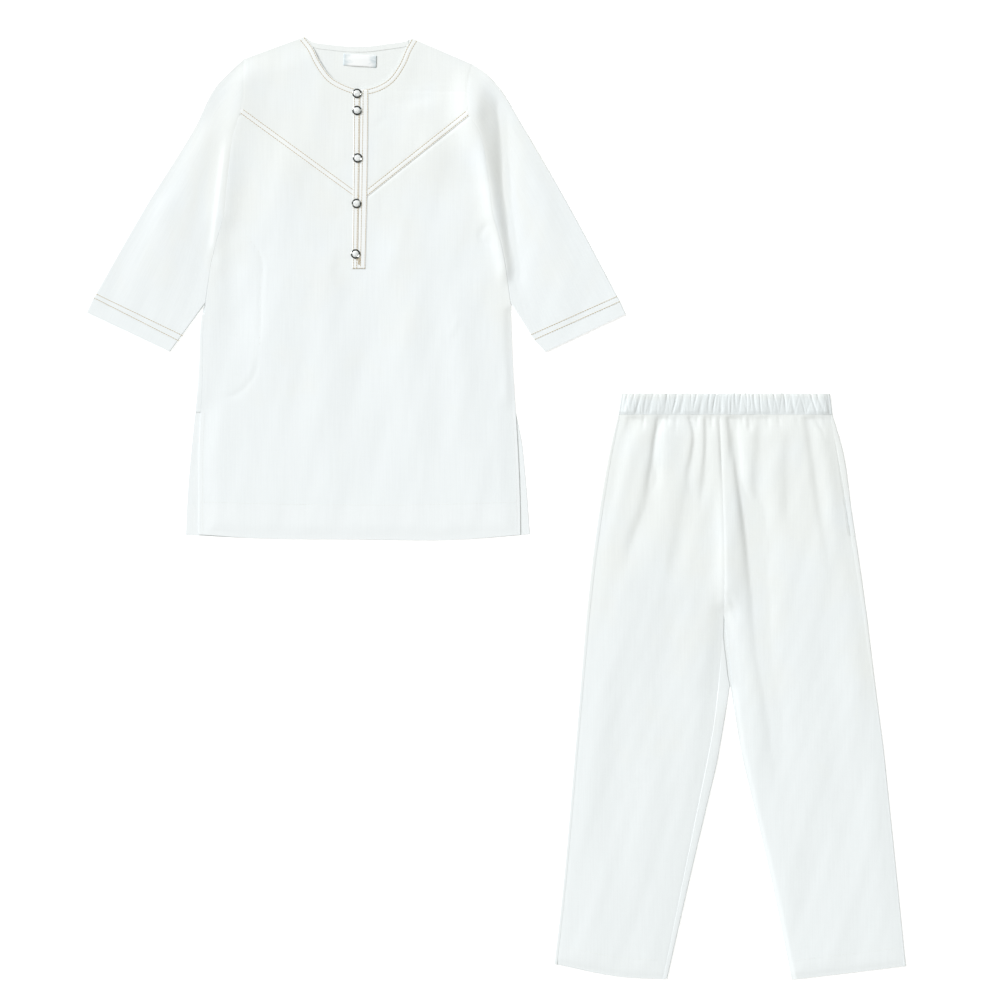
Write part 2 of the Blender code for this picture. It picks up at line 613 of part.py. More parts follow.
def build_placket(garment):
    """The two strips beside the opening, and the snaps' rings and pearly caps on the left one."""
    table = np.array(PLACKET)
    drops = table[:, 0]
    edges = [np.column_stack([table[:, column], drops]) for column in (1, 2, 3)]
    left, opening, right = (smooth(edge, STRIP_STEPS) for edge in edges)
    half = PLAN_SEAM / 2
    over = LAYER + WALL + SEAM
    strip("placket_left", np.stack([left, moved(opening, across=-half)], axis=1), over, garment)
    strip("placket_right", np.stack([moved(opening, across=half), right], axis=1), over, garment)
    base = over + WALL + SEAM
    for number, (across, drop) in enumerate(SNAPS, start=1):
        turned_piece(f"snap_ring_{number}", RING_PROFILE, (across, drop, base), garment, "snap_metal")
        turned_piece(f"snap_pearl_{number}", PEARL_PROFILE, (across, drop, base), garment, "pearl")


def build_neck_inside(garment):
    """The facing and the blank label, which lie on the back inside the neck."""
    upper = smooth(BACK_SCOOP, STRIP_STEPS)
    lower = upper * (FACING_TAPER, 1.0) + (0.0, FACING_WIDTH)
    strip("back_neck_facing", np.stack([upper, lower], axis=0), LAYER, garment)
    turn = np.radians(LABEL_TURN)
    halves = np.array(LABEL_SIZE) / 2
    corners = np.array([[(-1, -1), (1, -1)], [(-1, 1), (1, 1)]]) * halves
    turned = np.stack(
        [
            corners[..., 0] * np.cos(turn) + corners[..., 1] * np.sin(turn),
            corners[..., 1] * np.cos(turn) - corners[..., 0] * np.sin(turn),
        ],
        axis=-1,
    )
    strip("neck_label", turned + LABEL_MIDDLE, LAYER, garment, "label_cloth")


def build_tunic(garment):
    """Every piece of the tunic."""
    closed_edges = (
        (LEFT_NECK_POINT, LEFT_TIP),
        (LEFT_TIP, *LEFT_OUTER, *LEFT_CUFF_EDGE),
        (RIGHT_NECK_POINT, RIGHT_TIP),
        (RIGHT_TIP, *RIGHT_OUTER, *RIGHT_CUFF_EDGE),
        LEFT_UPPER_SIDE,
        LEFT_SIDE_SEAM,
        LEFT_FRONT_SLIT,
        RIGHT_UPPER_SIDE,
        RIGHT_SIDE_SEAM,
        RIGHT_FRONT_SLIT,
        (LEFT_JUNCTION, LEFT_CUFF_EDGE[1]),
        (RIGHT_JUNCTION, RIGHT_CUFF_EDGE[1]),
        (LEFT_FRONT_SLIT[-1], HEM_LEFT, HEM_RIGHT, RIGHT_FRONT_SLIT[-1]),
        (LEFT_NECK_POINT, *LEFT_NECK, SLIT_TOP),
        (SLIT_TOP, *RIGHT_NECK, RIGHT_NECK_POINT),
    )
    shut = [smooth(rows, SHUT_STEPS) for rows in closed_edges]
    placket = [np.array([SLIT_TOP, SLIT_END])]
    armholes = [
        walk((LEFT_UPPER_ARMHOLE, UPPER_ARMHOLE_STEPS), (LEFT_LOWER_ARMHOLE, LOWER_ARMHOLE_STEPS)),
        walk((RIGHT_UPPER_ARMHOLE, UPPER_ARMHOLE_STEPS), (RIGHT_LOWER_ARMHOLE, LOWER_ARMHOLE_STEPS)),
    ]

    def relief(plan):
        """How far the upper layer stands off the lower one."""
        nearest = np.min([distance(plan, run) for run in armholes], axis=0)
        rise = ARMHOLE_RISE * np.exp(-((nearest / ARMHOLE_REACH) ** 2))
        held = held_down(plan, shut, SHUT_REACH) * held_down(plan, placket, SHUT_REACH, PLACKET_FLAT)
        return (rise + ridges(plan, TUNIC_RISES)) * held

    build_tunic_back(garment)
    build_tunic_fronts(garment, relief)
    build_sleeve(
        "left",
        (LEFT_UPPER_ARMHOLE, LEFT_LOWER_ARMHOLE),
        LEFT_OUTER,
        LEFT_UPPER_SIDE,
        LEFT_CUFF_SEAM,
        LEFT_CUFF_EDGE,
        garment,
        relief,
    )
    build_sleeve(
        "right",
        (RIGHT_UPPER_ARMHOLE, RIGHT_LOWER_ARMHOLE),
        RIGHT_OUTER,
        RIGHT_UPPER_SIDE,
        RIGHT_CUFF_SEAM,
        RIGHT_CUFF_EDGE,
        garment,
        relief,
    )
    build_placket(garment)
    build_neck_inside(garment)


def build_legs(garment):
    """The four leg panels. The backs fold up round the outer edges and the left inner one."""
    out_left = walk(*zip(LEFT_OUT_SEAM, OUT_STEPS))
    out_right = walk(*zip(RIGHT_OUT_SEAM, OUT_STEPS))
    in_left = walk(*zip(LEFT_IN_SEAM, IN_STEPS))
    centre_left = smooth(CENTRE_SEAM, CENTRE_STEPS)
    centre_right = moved(centre_left, across=PLAN_SEAM)
    in_right = moved(walk(*zip(RIGHT_IN_EDGE, IN_STEPS)), across=PLAN_SEAM)
    shut = [
        out_left,
        out_right,
        in_left,
        in_right,
        np.array([LEFT_OUT_SEAM[-1][-1], LEFT_HEM_MIDDLE, LEFT_IN_SEAM[-1][-1]]),
        np.array([RIGHT_IN_EDGE[-1][-1], RIGHT_HEM_MIDDLE, RIGHT_OUT_SEAM[-1][-1]]),
    ]

    def relief(plan):
        """How far the gathered front stands off the back."""
        fall = np.exp(-np.maximum(plan[..., 1] - WAIST_SEAM, 0.0) / LOFT_REACH)
        loft = LOFT_AT_HEM + LOFT_AT_WAIST * fall
        return np.maximum(loft - ridges(plan, TROUSER_TROUGHS), 0.0) * held_down(plan, shut, SHUT_REACH)

    front_left_inner = np.concatenate([centre_left, in_left[1:]])
    front_right_inner = np.concatenate([centre_right, in_right[1:]])
    front_layer(
        "trouser_front_left",
        patch(
            smooth((out_left[0], centre_left[0]), FRONT_COLUMNS),
            smooth((out_left[-1], LEFT_HEM_MIDDLE, in_left[-1]), FRONT_COLUMNS),
            out_left,
            front_left_inner,
        ),
        relief,
        garment,
    )
    front_layer(
        "trouser_front_right",
        patch(
            smooth((centre_right[0], out_right[0]), FRONT_COLUMNS),
            smooth((in_right[-1], RIGHT_HEM_MIDDLE, out_right[-1]), FRONT_COLUMNS),
            front_right_inner,
            out_right,
        ),
        relief,
        garment,
    )
    fold_left = walk(*zip(LEFT_OUT_FOLD, OUT_STEPS))
    fold_right = walk(*zip(RIGHT_OUT_FOLD, OUT_STEPS))
    crotch = smooth(CROTCH_FOLD, IN_STEPS[0])
    fold_in = walk(*zip(LEFT_IN_FOLD, IN_STEPS[1:]))
    back_left_inner = np.concatenate([centre_left, crotch[1:], fold_in[1:]])
    back_left = patch(
        smooth((fold_left[0], centre_left[0]), BACK_COLUMNS),
        smooth((fold_left[-1], LEFT_HEM_MIDDLE, fold_in[-1]), BACK_COLUMNS),
        fold_left,
        back_left_inner,
    )
    last = sum(OUT_STEPS)
    turn_in = (CENTRE_STEPS + 1, last, in_left[1:])
    turn_out = (0, last, out_left)
    back_layer("trouser_back_left", back_left, garment, left_turn=turn_out, right_turn=turn_in)
    crotch_right = moved(crotch, across=PLAN_SEAM)
    thigh = (crotch_right[-1], *RIGHT_IN_EDGE[1][1:])
    in_back = walk((thigh, IN_STEPS[1]), (RIGHT_IN_EDGE[2], IN_STEPS[2]))
    back_right = patch(
        smooth((centre_right[0], fold_right[0]), BACK_COLUMNS),
        smooth((in_back[-1], RIGHT_HEM_MIDDLE, fold_right[-1]), BACK_COLUMNS),
        np.concatenate([centre_right, crotch_right[1:], in_back[1:]]),
        fold_right,
    )
    back_layer("trouser_back_right", back_right, garment, right_turn=(0, last, out_right))


def build_waistband(garment):
    """The elastic waistband, a ring pressed flat, gathered along its whole upper half."""
    plan = patch(
        smooth(WAISTBAND_TOP, BAND_COLUMNS),
        smooth(WAISTBAND_FOOT, BAND_COLUMNS),
        smooth((WAISTBAND_TOP[0], WAISTBAND_FOOT[0]), BAND_ROWS),
        smooth((WAISTBAND_TOP[1], WAISTBAND_FOOT[1]), BAND_ROWS),
    )
    ends = [plan[:, 0], plan[:, -1]]
    width = WAISTBAND_TOP[1][0] - WAISTBAND_TOP[0][0]

    def relief(places):
        """Unevenly spaced gathers, which lean outwards towards the sides."""
        across, drop = places[..., 0], places[..., 1]
        lean = GATHER_LEAN * across * drop / WAIST_SEAM
        uneven = sum(shift * np.sin(across / length + start) for shift, length, start in GATHER_SHIFTS)
        wave = np.cos(2 * np.pi * GATHER_COUNT * (across - lean + uneven) / width)
        return (GATHER_LOFT + GATHER_HEIGHT * wave) * held_down(places, ends, GATHER_REACH)

    flat_tube("waistband", plan, relief, garment, lower_every=BAND_LOWER_EVERY)


def add_garment(name, place, collection):
    """An empty where the garment's plan frame starts."""
    garment = bpy.data.objects.new(name, None)
    garment.location = (place[0] * MM, place[1] * MM, 0.0)
    collection.objects.link(garment)
    return garment


def main():
    """Clears the scene and builds both garments."""
    for old in list(bpy.data.objects):
        bpy.data.objects.remove(old)
    collection = bpy.data.collections.new("tunic_and_trousers_set")
    bpy.context.scene.collection.children.link(collection)
    build_tunic(add_garment("tunic", TUNIC_PLACE, collection))
    trousers = add_garment("trousers", TROUSERS_PLACE, collection)
    build_legs(trousers)
    build_waistband(trousers)


main()
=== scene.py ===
"""The finished look of a child's tunic and trousers, laid flat side by side.

Sizes are in millimetres until a mesh is made. Each garment is drawn in its own plan frame:
across runs to the viewer's right and drop runs down from its top edge. A piece of cloth is a
grid of places over that plan, whose heights are added up from soft ridges and troughs.
"""

from __future__ import annotations

import sys
import logging
from collections.abc import Callable, Sequence
from dataclasses import dataclass, field
from enum import Enum

import bpy
import numpy as np
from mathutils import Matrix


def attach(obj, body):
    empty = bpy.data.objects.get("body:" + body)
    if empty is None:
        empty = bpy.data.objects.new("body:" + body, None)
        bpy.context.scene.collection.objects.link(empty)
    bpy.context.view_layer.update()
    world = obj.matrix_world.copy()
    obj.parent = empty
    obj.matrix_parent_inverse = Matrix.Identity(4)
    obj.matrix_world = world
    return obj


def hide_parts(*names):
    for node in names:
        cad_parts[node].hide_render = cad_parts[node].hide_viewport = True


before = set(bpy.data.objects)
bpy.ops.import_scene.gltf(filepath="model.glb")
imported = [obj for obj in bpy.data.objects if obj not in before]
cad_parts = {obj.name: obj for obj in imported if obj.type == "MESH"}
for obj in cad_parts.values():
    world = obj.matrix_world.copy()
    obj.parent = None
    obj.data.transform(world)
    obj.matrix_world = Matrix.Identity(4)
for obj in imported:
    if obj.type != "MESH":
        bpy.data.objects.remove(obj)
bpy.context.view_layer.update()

LOG = logging.getLogger("tunic_and_trousers")

Array = np.ndarray
Object = bpy.types.Object
Point = tuple[float, float]
Rows = Sequence[Point]
Table = tuple[tuple[float, ...], ...]
Triple = tuple[float, float, float]
Relief = Callable[[Array], Array]
Socket = bpy.types.NodeSocket
Material = bpy.types.Material

MM = 0.001
CLOTH = 0.45
BACK_LEVEL = CLOTH / 2
FRONT_LEVEL = 1.75
EDGE_LEVEL = 0.72
BEND_STEPS = 8
WELD = 1e-3
FINE_STEPS = 400
FINE_STITCH = {"pitch": 2.9, "length": 2.3, "width": 0.34, "height": 0.08}


class Hold(Enum):
    """How a sheet of cloth is held."""

    LAID = "laid"
    GATHERED = "gathered"
    FOLDED = "folded"


def soft_step(value: Array) -> Array:
    """Goes from 0 to 1 with the value, level at both ends: 3 v squared less 2 v cubed."""
    part = np.clip(value, 0.0, 1.0)
    return part * part * (3 - 2 * part)


def walked(run: Array) -> Array:
    """The length along a run of places up to each of them."""
    return np.concatenate([[0.0], np.cumsum(np.linalg.norm(np.diff(run, axis=0), axis=1))])


def smooth(rows: Rows, steps: int) -> Array:
    """Evenly spaced places on a smooth curve through the rows.

    Between two rows the curve is a cubic whose slopes there come from the rows beside them.

    Args:
        rows: places in the plan, as across and drop.
        steps: how many steps the curve is cut into.

    Returns:
        One row of across and drop for each place, both ends included.
    """
    places = np.array(rows, dtype=float)
    knots = walked(places)
    if len(places) == 2:
        slopes = np.repeat((places[1:] - places[:1]) / knots[-1], 2, axis=0)
    else:
        slopes = np.gradient(places, knots, axis=0)
    along = np.linspace(0.0, knots[-1], FINE_STEPS)
    span = np.clip(np.searchsorted(knots, along, side="right") - 1, 0, len(places) - 2)
    length = (knots[span + 1] - knots[span])[:, None]
    part = (along - knots[span])[:, None] / length
    fine = (
        places[span] * (1 + 2 * part) * (1 - part) ** 2
        + slopes[span] * length * part * (1 - part) ** 2
        + places[span + 1] * part**2 * (3 - 2 * part)
        + slopes[span + 1] * length * part**2 * (part - 1)
    )
    stops = np.linspace(0.0, 1.0, steps + 1) * walked(fine)[-1]
    return np.column_stack([np.interp(stops, walked(fine), fine[:, axis]) for axis in (0, 1)])


def walk(*stretches: tuple[Rows, int]) -> Array:
    """Joins smooth stretches, each of rows and steps, and keeps the corner between two."""
    runs = [smooth(rows, steps) for rows, steps in stretches]
    return np.concatenate([runs[0]] + [run[1:] for run in runs[1:]])


def moved(places: Rows | Array, across: float = 0.0, drop: float = 0.0) -> Array:
    """The same places, shifted in the plan."""
    return np.array(places, dtype=float) + (across, drop)


def beside(run: Array, apart: float) -> Array:
    """A run at a steady distance from another, to its left as it is walked on the page.

    Args:
        run: one row of across and drop for each place.
        apart: the distance, below 0 for the other side.

    Returns:
        The new run, with as many places.
    """
    steps = np.gradient(run, axis=0)
    steps /= np.linalg.norm(steps, axis=1, keepdims=True)
    return run + apart * np.column_stack([steps[:, 1], -steps[:, 0]])


def patch(top: Array, bottom: Array, left: Array, right: Array) -> Array:
    """Fills four edges with a grid: both blends of facing edges, less the blend of the corners.

    Args:
        top: the upper edge, from left to right.
        bottom: the lower edge, from left to right.
        left: the left edge, downwards.
        right: the right edge, downwards.

    Returns:
        Rows by columns of across and drop.
    """
    s = ((walked(top) / walked(top)[-1] + walked(bottom) / walked(bottom)[-1]) / 2)[None, :, None]
    t = ((walked(left) / walked(left)[-1] + walked(right) / walked(right)[-1]) / 2)[:, None, None]
    ends = (1 - t) * top[None] + t * bottom[None]
    sides = (1 - s) * left[:, None] + s * right[:, None]
    upper = (1 - s) * top[0] + s * top[-1]
    lower = (1 - s) * bottom[0] + s * bottom[-1]
    return ends + sides - (1 - t) * upper - t * lower


def edged(plan: Array, sides: str = "tblr", share: float = 0.12) -> Array:
    """Adds a row or column close to the edges, so that cut cloth turns over within a thin line.

    Args:
        plan: rows by columns of across and drop.
        sides: which edges, by the first letters of top, bottom, left and right.
        share: how far into the outermost cells the new rows and columns lie.

    Returns:
        The plan with its added rows and columns.
    """
    for turned, first, last in ((False, "t", "b"), (True, "l", "r")):
        grid = plan.transpose(1, 0, 2) if turned else plan
        if first in sides:
            grid = np.concatenate([grid[:1], grid[:1] + share * (grid[1:2] - grid[:1]), grid[1:]])
        if last in sides:
            grid = np.concatenate([grid[:-1], grid[-1:] + share * (grid[-2:-1] - grid[-1:]), grid[-1:]])
        plan = grid.transpose(1, 0, 2) if turned else grid
    return plan


def nearest(plan: Array, run: Array) -> tuple[Array, Array]:
    """Where each place lies beside a run: share of its length, and signed distance.

    For a run that goes down the page the distance is plus on the page's right.

    Args:
        plan: places in the plan, in an array of any shape that ends in 2.
        run: places joined by straight pieces.

    Returns:
        The share from 0 to 1 and the signed distance, each shaped as the plan is.
    """
    starts, steps = run[:-1], np.diff(run, axis=0)
    away = plan[..., None, :] - starts
    part = np.clip((away * steps).sum(-1) / (steps * steps).sum(-1), 0.0, 1.0)
    apart = away - part[..., None] * steps
    size = np.linalg.norm(apart, axis=-1)
    best = size.argmin(-1)[..., None]
    side = np.sign(apart[..., 1] * steps[:, 0] - apart[..., 0] * steps[:, 1])
    length = walked(run)
    share = (length[:-1] + part * np.diff(length)) / length[-1]
    picked = [np.take_along_axis(each, best, axis=-1)[..., 0] for each in (share, size, side)]
    return picked[0], -picked[1] * picked[2]


def closest(plan: Array, runs: Sequence[Array]) -> Array:
    """The distance from each place to the closest of several runs."""
    return np.min([np.abs(nearest(plan, run)[1]) for run in runs], axis=0)


@dataclass(frozen=True)
class Crease:
    """A soft trough, where the height is below 0, or ridge, along a smooth line.

    Across the line it falls off as a bell curve, and along the line it fades in and out over the
    two shares. The lean makes the bell of a line that goes down wider on the page's right.
    """

    line: Rows
    half_width: float
    height: float
    lean: float = 0.0
    fade_in: float = 0.15
    fade_out: float = 0.4

    def at(self, plan: Array) -> Array:
        """The height that the crease adds.

        Args:
            plan: places in the plan.

        Returns:
            One height for each place.
        """
        along, apart = nearest(plan, smooth(self.line, 10))
        width = self.half_width * (1 + self.lean * np.sign(apart))
        fade = soft_step(along / self.fade_in) * soft_step((1 - along) / self.fade_out)
        return self.height * fade * np.exp(-((apart / width) ** 2))


def added(plan: Array, creases: Sequence[Crease]) -> Array:
    """The sum of several creases."""
    return sum((crease.at(plan) for crease in creases), np.zeros(plan.shape[:-1]))


@dataclass(frozen=True)
class Ripple:
    """Faint unevenness of pressed cloth: waves of the given lengths, crossing at odd angles."""

    height: float = 0.08
    lengths: tuple[float, ...] = (61.0, 43.0, 29.0, 19.0)
    seed: int = 4

    def at(self, plan: Array) -> Array:
        """The sum of one sine for each length, smaller for the shorter ones.

        Args:
            plan: places in the plan.

        Returns:
            One height for each place.
        """
        random = np.random.default_rng(self.seed)
        total = np.zeros(plan.shape[:-1])
        for length in self.lengths:
            angle, start = random.uniform(-0.5, 0.5), random.uniform(0, 2 * np.pi)
            phase = (plan[..., 0] * np.cos(angle) + plan[..., 1] * np.sin(angle)) / length
            bend = np.sin(plan[..., 1] / (2.7 * length) + start)
            total += self.height * (length / self.lengths[0]) * np.sin(2 * np.pi * phase + start + bend)
        return total


class Tree:
    """A short way to lay out a material's nodes."""

    def __init__(self, name: str) -> None:
        """Starts a material with its output and one Principled BSDF.

        Args:
            name: the material's name.
        """
        self.material = bpy.data.materials.new(name)
        self.material.use_nodes = True
        self.tree = self.material.node_tree
        self.shader = self.tree.nodes["Principled BSDF"]

    def node(self, kind: str, **settings: object) -> bpy.types.Node:
        """Adds a node.

        Args:
            kind: the node's type.
            settings: its own settings.

        Returns:
            The new node.
        """
        made = self.tree.nodes.new(kind)
        for key, value in settings.items():
            setattr(made, key, value)
        return made

    def join(self, source: Socket, target: Socket) -> None:
        """Links two sockets."""
        self.tree.links.new(source, target)

    def maths(self, operation: str, first: object, second: object = None) -> Socket:
        """Adds a Math node.

        Args:
            operation: what it works out.
            first: a socket or a number.
            second: the same, if the operation takes two.

        Returns:
            The socket of the result.
        """
        made = self.node("ShaderNodeMath", operation=operation)
        for place, value in enumerate((first, second)):
            if isinstance(value, Socket):
                self.join(value, made.inputs[place])
            elif value is not None:
                made.inputs[place].default_value = value
        return made.outputs[0]

    def noise(self, vector: Socket, stretch: Triple, detail: float = 2.0) -> Socket:
        """Adds noise whose patches measure 1 over the stretch along each axis.

        Args:
            vector: the coordinates.
            stretch: what they are multiplied by.
            detail: how many finer layers there are.

        Returns:
            The socket of the noise.
        """
        mapping = self.node("ShaderNodeMapping")
        mapping.inputs["Scale"].default_value = stretch
        self.join(vector, mapping.inputs["Vector"])
        made = self.node("ShaderNodeTexNoise")
        made.inputs["Scale"].default_value = 1.0
        made.inputs["Detail"].default_value = detail
        self.join(mapping.outputs[0], made.inputs["Vector"])
        return made.outputs[0]

    def blend(
        self, share: Socket, first: Triple, second: Triple, low: float = 0.0, high: float = 1.0
    ) -> Socket:
        """Adds a colour that goes from one to another as the share goes from low to high.

        Args:
            share: the socket that drives it.
            first: the colour at low.
            second: the colour at high.
            low: where it starts to change.
            high: where it stops.

        Returns:
            The socket of the colour.
        """
        ramp = self.node("ShaderNodeValToRGB")
        ramp.color_ramp.elements[0].position = low
        ramp.color_ramp.elements[1].position = high
        ramp.color_ramp.elements[0].color = (*first, 1.0)
        ramp.color_ramp.elements[1].color = (*second, 1.0)
        self.join(share, ramp.inputs[0])
        return ramp.outputs[0]

    def mix(self, share: object, first: Socket, second: Socket, way: str = "MIX") -> Socket:
        """Adds a Mix node on colours.

        Args:
            share: a socket or a number, 0 for the first colour.
            first: one colour.
            second: the other.
            way: how the second goes onto the first.

        Returns:
            The socket of the colour.
        """
        made = self.node("ShaderNodeMix", data_type="RGBA", blend_type=way)
        if isinstance(share, Socket):
            self.join(share, made.inputs[0])
        else:
            made.inputs[0].default_value = share
        self.join(first, made.inputs[6])
        self.join(second, made.inputs[7])
        return made.outputs[2]

    def bump(self, height: Socket, strength: float, distance: float) -> None:
        """Feeds a height to the shader's normal.

        Args:
            height: the socket of the height.
            strength: how strongly it acts.
            distance: how many metres a height of 1 is.
        """
        made = self.node("ShaderNodeBump")
        made.inputs["Strength"].default_value = strength
        made.inputs["Distance"].default_value = distance
        self.join(height, made.inputs["Height"])
        self.join(made.outputs[0], self.shader.inputs["Normal"])

    def settle(self, **values: float) -> Material:
        """Sets the shader's own sockets.

        Args:
            values: the sockets, named in small letters with _ for each space.

        Returns:
            The material.
        """
        for key, value in values.items():
            self.shader.inputs[key.replace("_", " ").title().replace("Ior", "IOR")].default_value = value
        return self.material


@dataclass(frozen=True)
class ClothFinish:
    """Plain weave cotton: crossed threads, thicker slubs along the warp and faint mottling."""

    name: str
    slot: str
    colour: Triple
    doubled: Triple
    pitch: float = 0.42
    streak: float = 0.022
    roughness: float = 0.92
    sheen: float = 0.08
    warm_until: float = 190.0

    def material(self) -> Material:
        """Weave as the product of two sines of the cloth's own coordinates, in millimetres.

        Returns:
            The material.
        """
        tree = Tree(self.name)
        cloth = tree.node("ShaderNodeUVMap", uv_map="cloth").outputs[0]
        colour = np.array(self.colour)
        slub = tree.noise(cloth, (0.8, 0.022, 1.0), 3.0)
        weft = tree.noise(cloth, (0.03, 0.9, 1.0), 2.0)
        mottle = tree.noise(cloth, (0.016, 0.013, 1.0), 4.0)
        streaks = tree.blend(slub, colour * (1 - self.streak), colour, 0.35, 0.62)
        across = tree.blend(weft, (1 - self.streak / 4,) * 3, (1.0, 1.0, 1.0), 0.35, 0.6)
        parts = tree.node("ShaderNodeSeparateXYZ")
        tree.join(cloth, parts.inputs[0])
        fall = tree.maths("DIVIDE", parts.outputs[1], 2.5 * self.warm_until)
        cool = tree.maths("ADD", fall, tree.maths("MULTIPLY", tree.maths("SUBTRACT", mottle, 0.5), 2.2))
        cloud = tree.blend(cool, (0.996, 0.990, 0.968), (0.992, 0.998, 1.0), 0.1, 0.6)
        woven = tree.mix(1.0, tree.mix(1.0, streaks, across, "MULTIPLY"), cloud, "MULTIPLY")
        layers = tree.node("ShaderNodeAttribute", attribute_name="doubled").outputs["Fac"]
        whiter = tree.blend(mottle, self.doubled, np.array(self.doubled) * 0.995)
        tree.join(tree.mix(layers, woven, whiter), tree.shader.inputs["Base Color"])
        turn = 2 * np.pi / self.pitch
        waves = [tree.maths("SINE", tree.maths("MULTIPLY", parts.outputs[axis], turn)) for axis in (0, 1)]
        threads = tree.maths("MULTIPLY", *waves)
        height = tree.maths("ADD", threads, tree.maths("MULTIPLY", slub, 2.0))
        tree.bump(height, 0.25, 0.00006)
        return tree.settle(roughness=self.roughness, sheen_weight=self.sheen, specular_ior_level=0.2)


@dataclass(frozen=True)
class SatinFinish:
    """Woven label: fine ribs across, a soft gloss, and grey-blue painted shade towards both ends."""

    name: str = "label_satin"
    slot: str = "label_cloth"
    colour: Triple = (0.90, 0.92, 0.92)
    # grey-blue colour of the painted shade at the label's ends
    ends: Triple = (0.60, 0.68, 0.71)
    half_width: float = 17.0
    rib: float = 0.35

    def material(self) -> Material:
        """Ribs as a sine of the drop on the label, and grey-blue painted shade that grows with the distance
        across.

        Returns:
            The material.
        """
        tree = Tree(self.name)
        cloth = tree.node("ShaderNodeUVMap", uv_map="cloth").outputs[0]
        patchy = tree.noise(cloth, (0.12, 0.3, 1.0))
        parts = tree.node("ShaderNodeSeparateXYZ")
        tree.join(cloth, parts.inputs[0])
        outwards = tree.maths("DIVIDE", tree.maths("ABSOLUTE", parts.outputs[0]), self.half_width)
        # painted shade: the colour greys towards both ends of the label
        end_shade = tree.maths("ADD", outwards, tree.maths("SUBTRACT", patchy, 0.5))
        tree.join(tree.blend(end_shade, self.colour, self.ends, 0.5, 1.05), tree.shader.inputs["Base Color"])
        ribs = tree.maths("SINE", tree.maths("MULTIPLY", parts.outputs[1], 2 * np.pi / self.rib))
        tree.bump(ribs, 0.25, 0.00005)
        return tree.settle(roughness=0.42, sheen_weight=0.1)


@dataclass(frozen=True)
class ThreadFinish:
    """Twisted sewing thread: slanting strands, with painted light on them and painted shade in the grooves
    between them.
    """

    name: str
    slot: str
    colour: Triple
    strand_scale: float = 900.0
    strand_bend: float = 1.5

    def material(self) -> Material:
        """Strands as bands on slanting object coordinates.

        Returns:
            The material.
        """
        tree = Tree(self.name)
        place = tree.node("ShaderNodeTexCoord").outputs["Object"]
        strands = tree.node("ShaderNodeTexWave")
        strands.inputs["Scale"].default_value = self.strand_scale
        strands.inputs["Distortion"].default_value = self.strand_bend
        tree.join(place, strands.inputs["Vector"])
        colour = np.array(self.colour)
        # painted light and shade: lighter on the strands, darker in the grooves between them
        shade = tree.blend(strands.outputs["Fac"], colour * 0.86, np.minimum(colour * 1.06, 1.0))
        tree.join(shade, tree.shader.inputs["Base Color"])
        tree.bump(strands.outputs["Fac"], 0.3, 0.00004)
        return tree.settle(roughness=0.7, sheen_weight=0.2)


@dataclass(frozen=True)
class RingFinish:
    """Dark polished metal of a snap's ring, slightly scuffed, with painted highlights in place of its
    reflections.
    """

    name: str = "snap_ring_metal"
    slot: str = "snap_metal"
    colour: Triple = (0.06, 0.065, 0.06)
    # near-white colour of the painted highlights, in place of reflections of the lights
    glint_colour: Triple = (0.80, 0.82, 0.80)
    glint_light_colour: Triple = (0.93, 0.94, 0.92)
    scuff_scale: Triple = (900.0, 2600.0, 900.0)

    def material(self) -> Material:
        """Fine scuffs vary the colour and the roughness, and a near-white metal colour is painted on in
        places as painted highlights.

        Returns:
            The material.
        """
        tree = Tree(self.name)
        place = tree.node("ShaderNodeTexCoord").outputs["Object"]
        scuffs = tree.noise(place, self.scuff_scale, 3.0)
        colour = np.array(self.colour)
        dark = tree.blend(scuffs, colour, colour * 1.9, 0.4, 0.75)
        # painted highlight: near-white metal mixed in where the ring's attribute is set, standing in for
        # reflections
        glint_colour = tree.blend(scuffs, self.glint_colour, self.glint_light_colour)
        painted_glint = tree.node("ShaderNodeAttribute", attribute_name="painted_glint").outputs["Fac"]
        tree.join(tree.mix(painted_glint, dark, glint_colour), tree.shader.inputs["Base Color"])
        rough = tree.maths("ADD", tree.maths("MULTIPLY", scuffs, 0.2), 0.14)
        tree.join(rough, tree.shader.inputs["Roughness"])
        tree.bump(scuffs, 0.15, 0.00002)
        return tree.settle(metallic=1.0)


@dataclass(frozen=True)
class PearlFinish:
    """Pearly cap of a snap: white with cloudy grey-blue swirls under a clear gloss."""

    name: str = "snap_pearl_cap"
    slot: str = "snap_pearl"
    cloud: Triple = (0.55, 0.60, 0.61)
    colour: Triple = (0.90, 0.92, 0.91)
    swirl_scale: float = 420.0
    swirl_bend: float = 2.2

    def material(self) -> Material:
        """Swirls as strongly distorted noise between two colours.

        Returns:
            The material.
        """
        tree = Tree(self.name)
        place = tree.node("ShaderNodeTexCoord").outputs["Object"]
        swirl = tree.node("ShaderNodeTexNoise")
        swirl.inputs["Scale"].default_value = self.swirl_scale
        swirl.inputs["Distortion"].default_value = self.swirl_bend
        tree.join(place, swirl.inputs["Vector"])
        colour = tree.blend(swirl.outputs[0], self.cloud, self.colour, 0.36, 0.52)
        tree.join(colour, tree.shader.inputs["Base Color"])
        tree.bump(swirl.outputs[0], 0.1, 0.00003)
        return tree.settle(roughness=0.28, coat_weight=0.8, coat_roughness=0.08)


@dataclass(frozen=True)
class Placement:
    """Where a garment's plan frame starts on the surface, as x and y."""

    x: float
    y: float

    def places(self, plan: Array, level: Array | float) -> Array:
        """Turns plan places and heights into x, y and z."""
        height = np.broadcast_to(level, plan.shape[:-1])
        return np.stack([self.x + plan[..., 0], self.y - plan[..., 1], height], axis=-1)


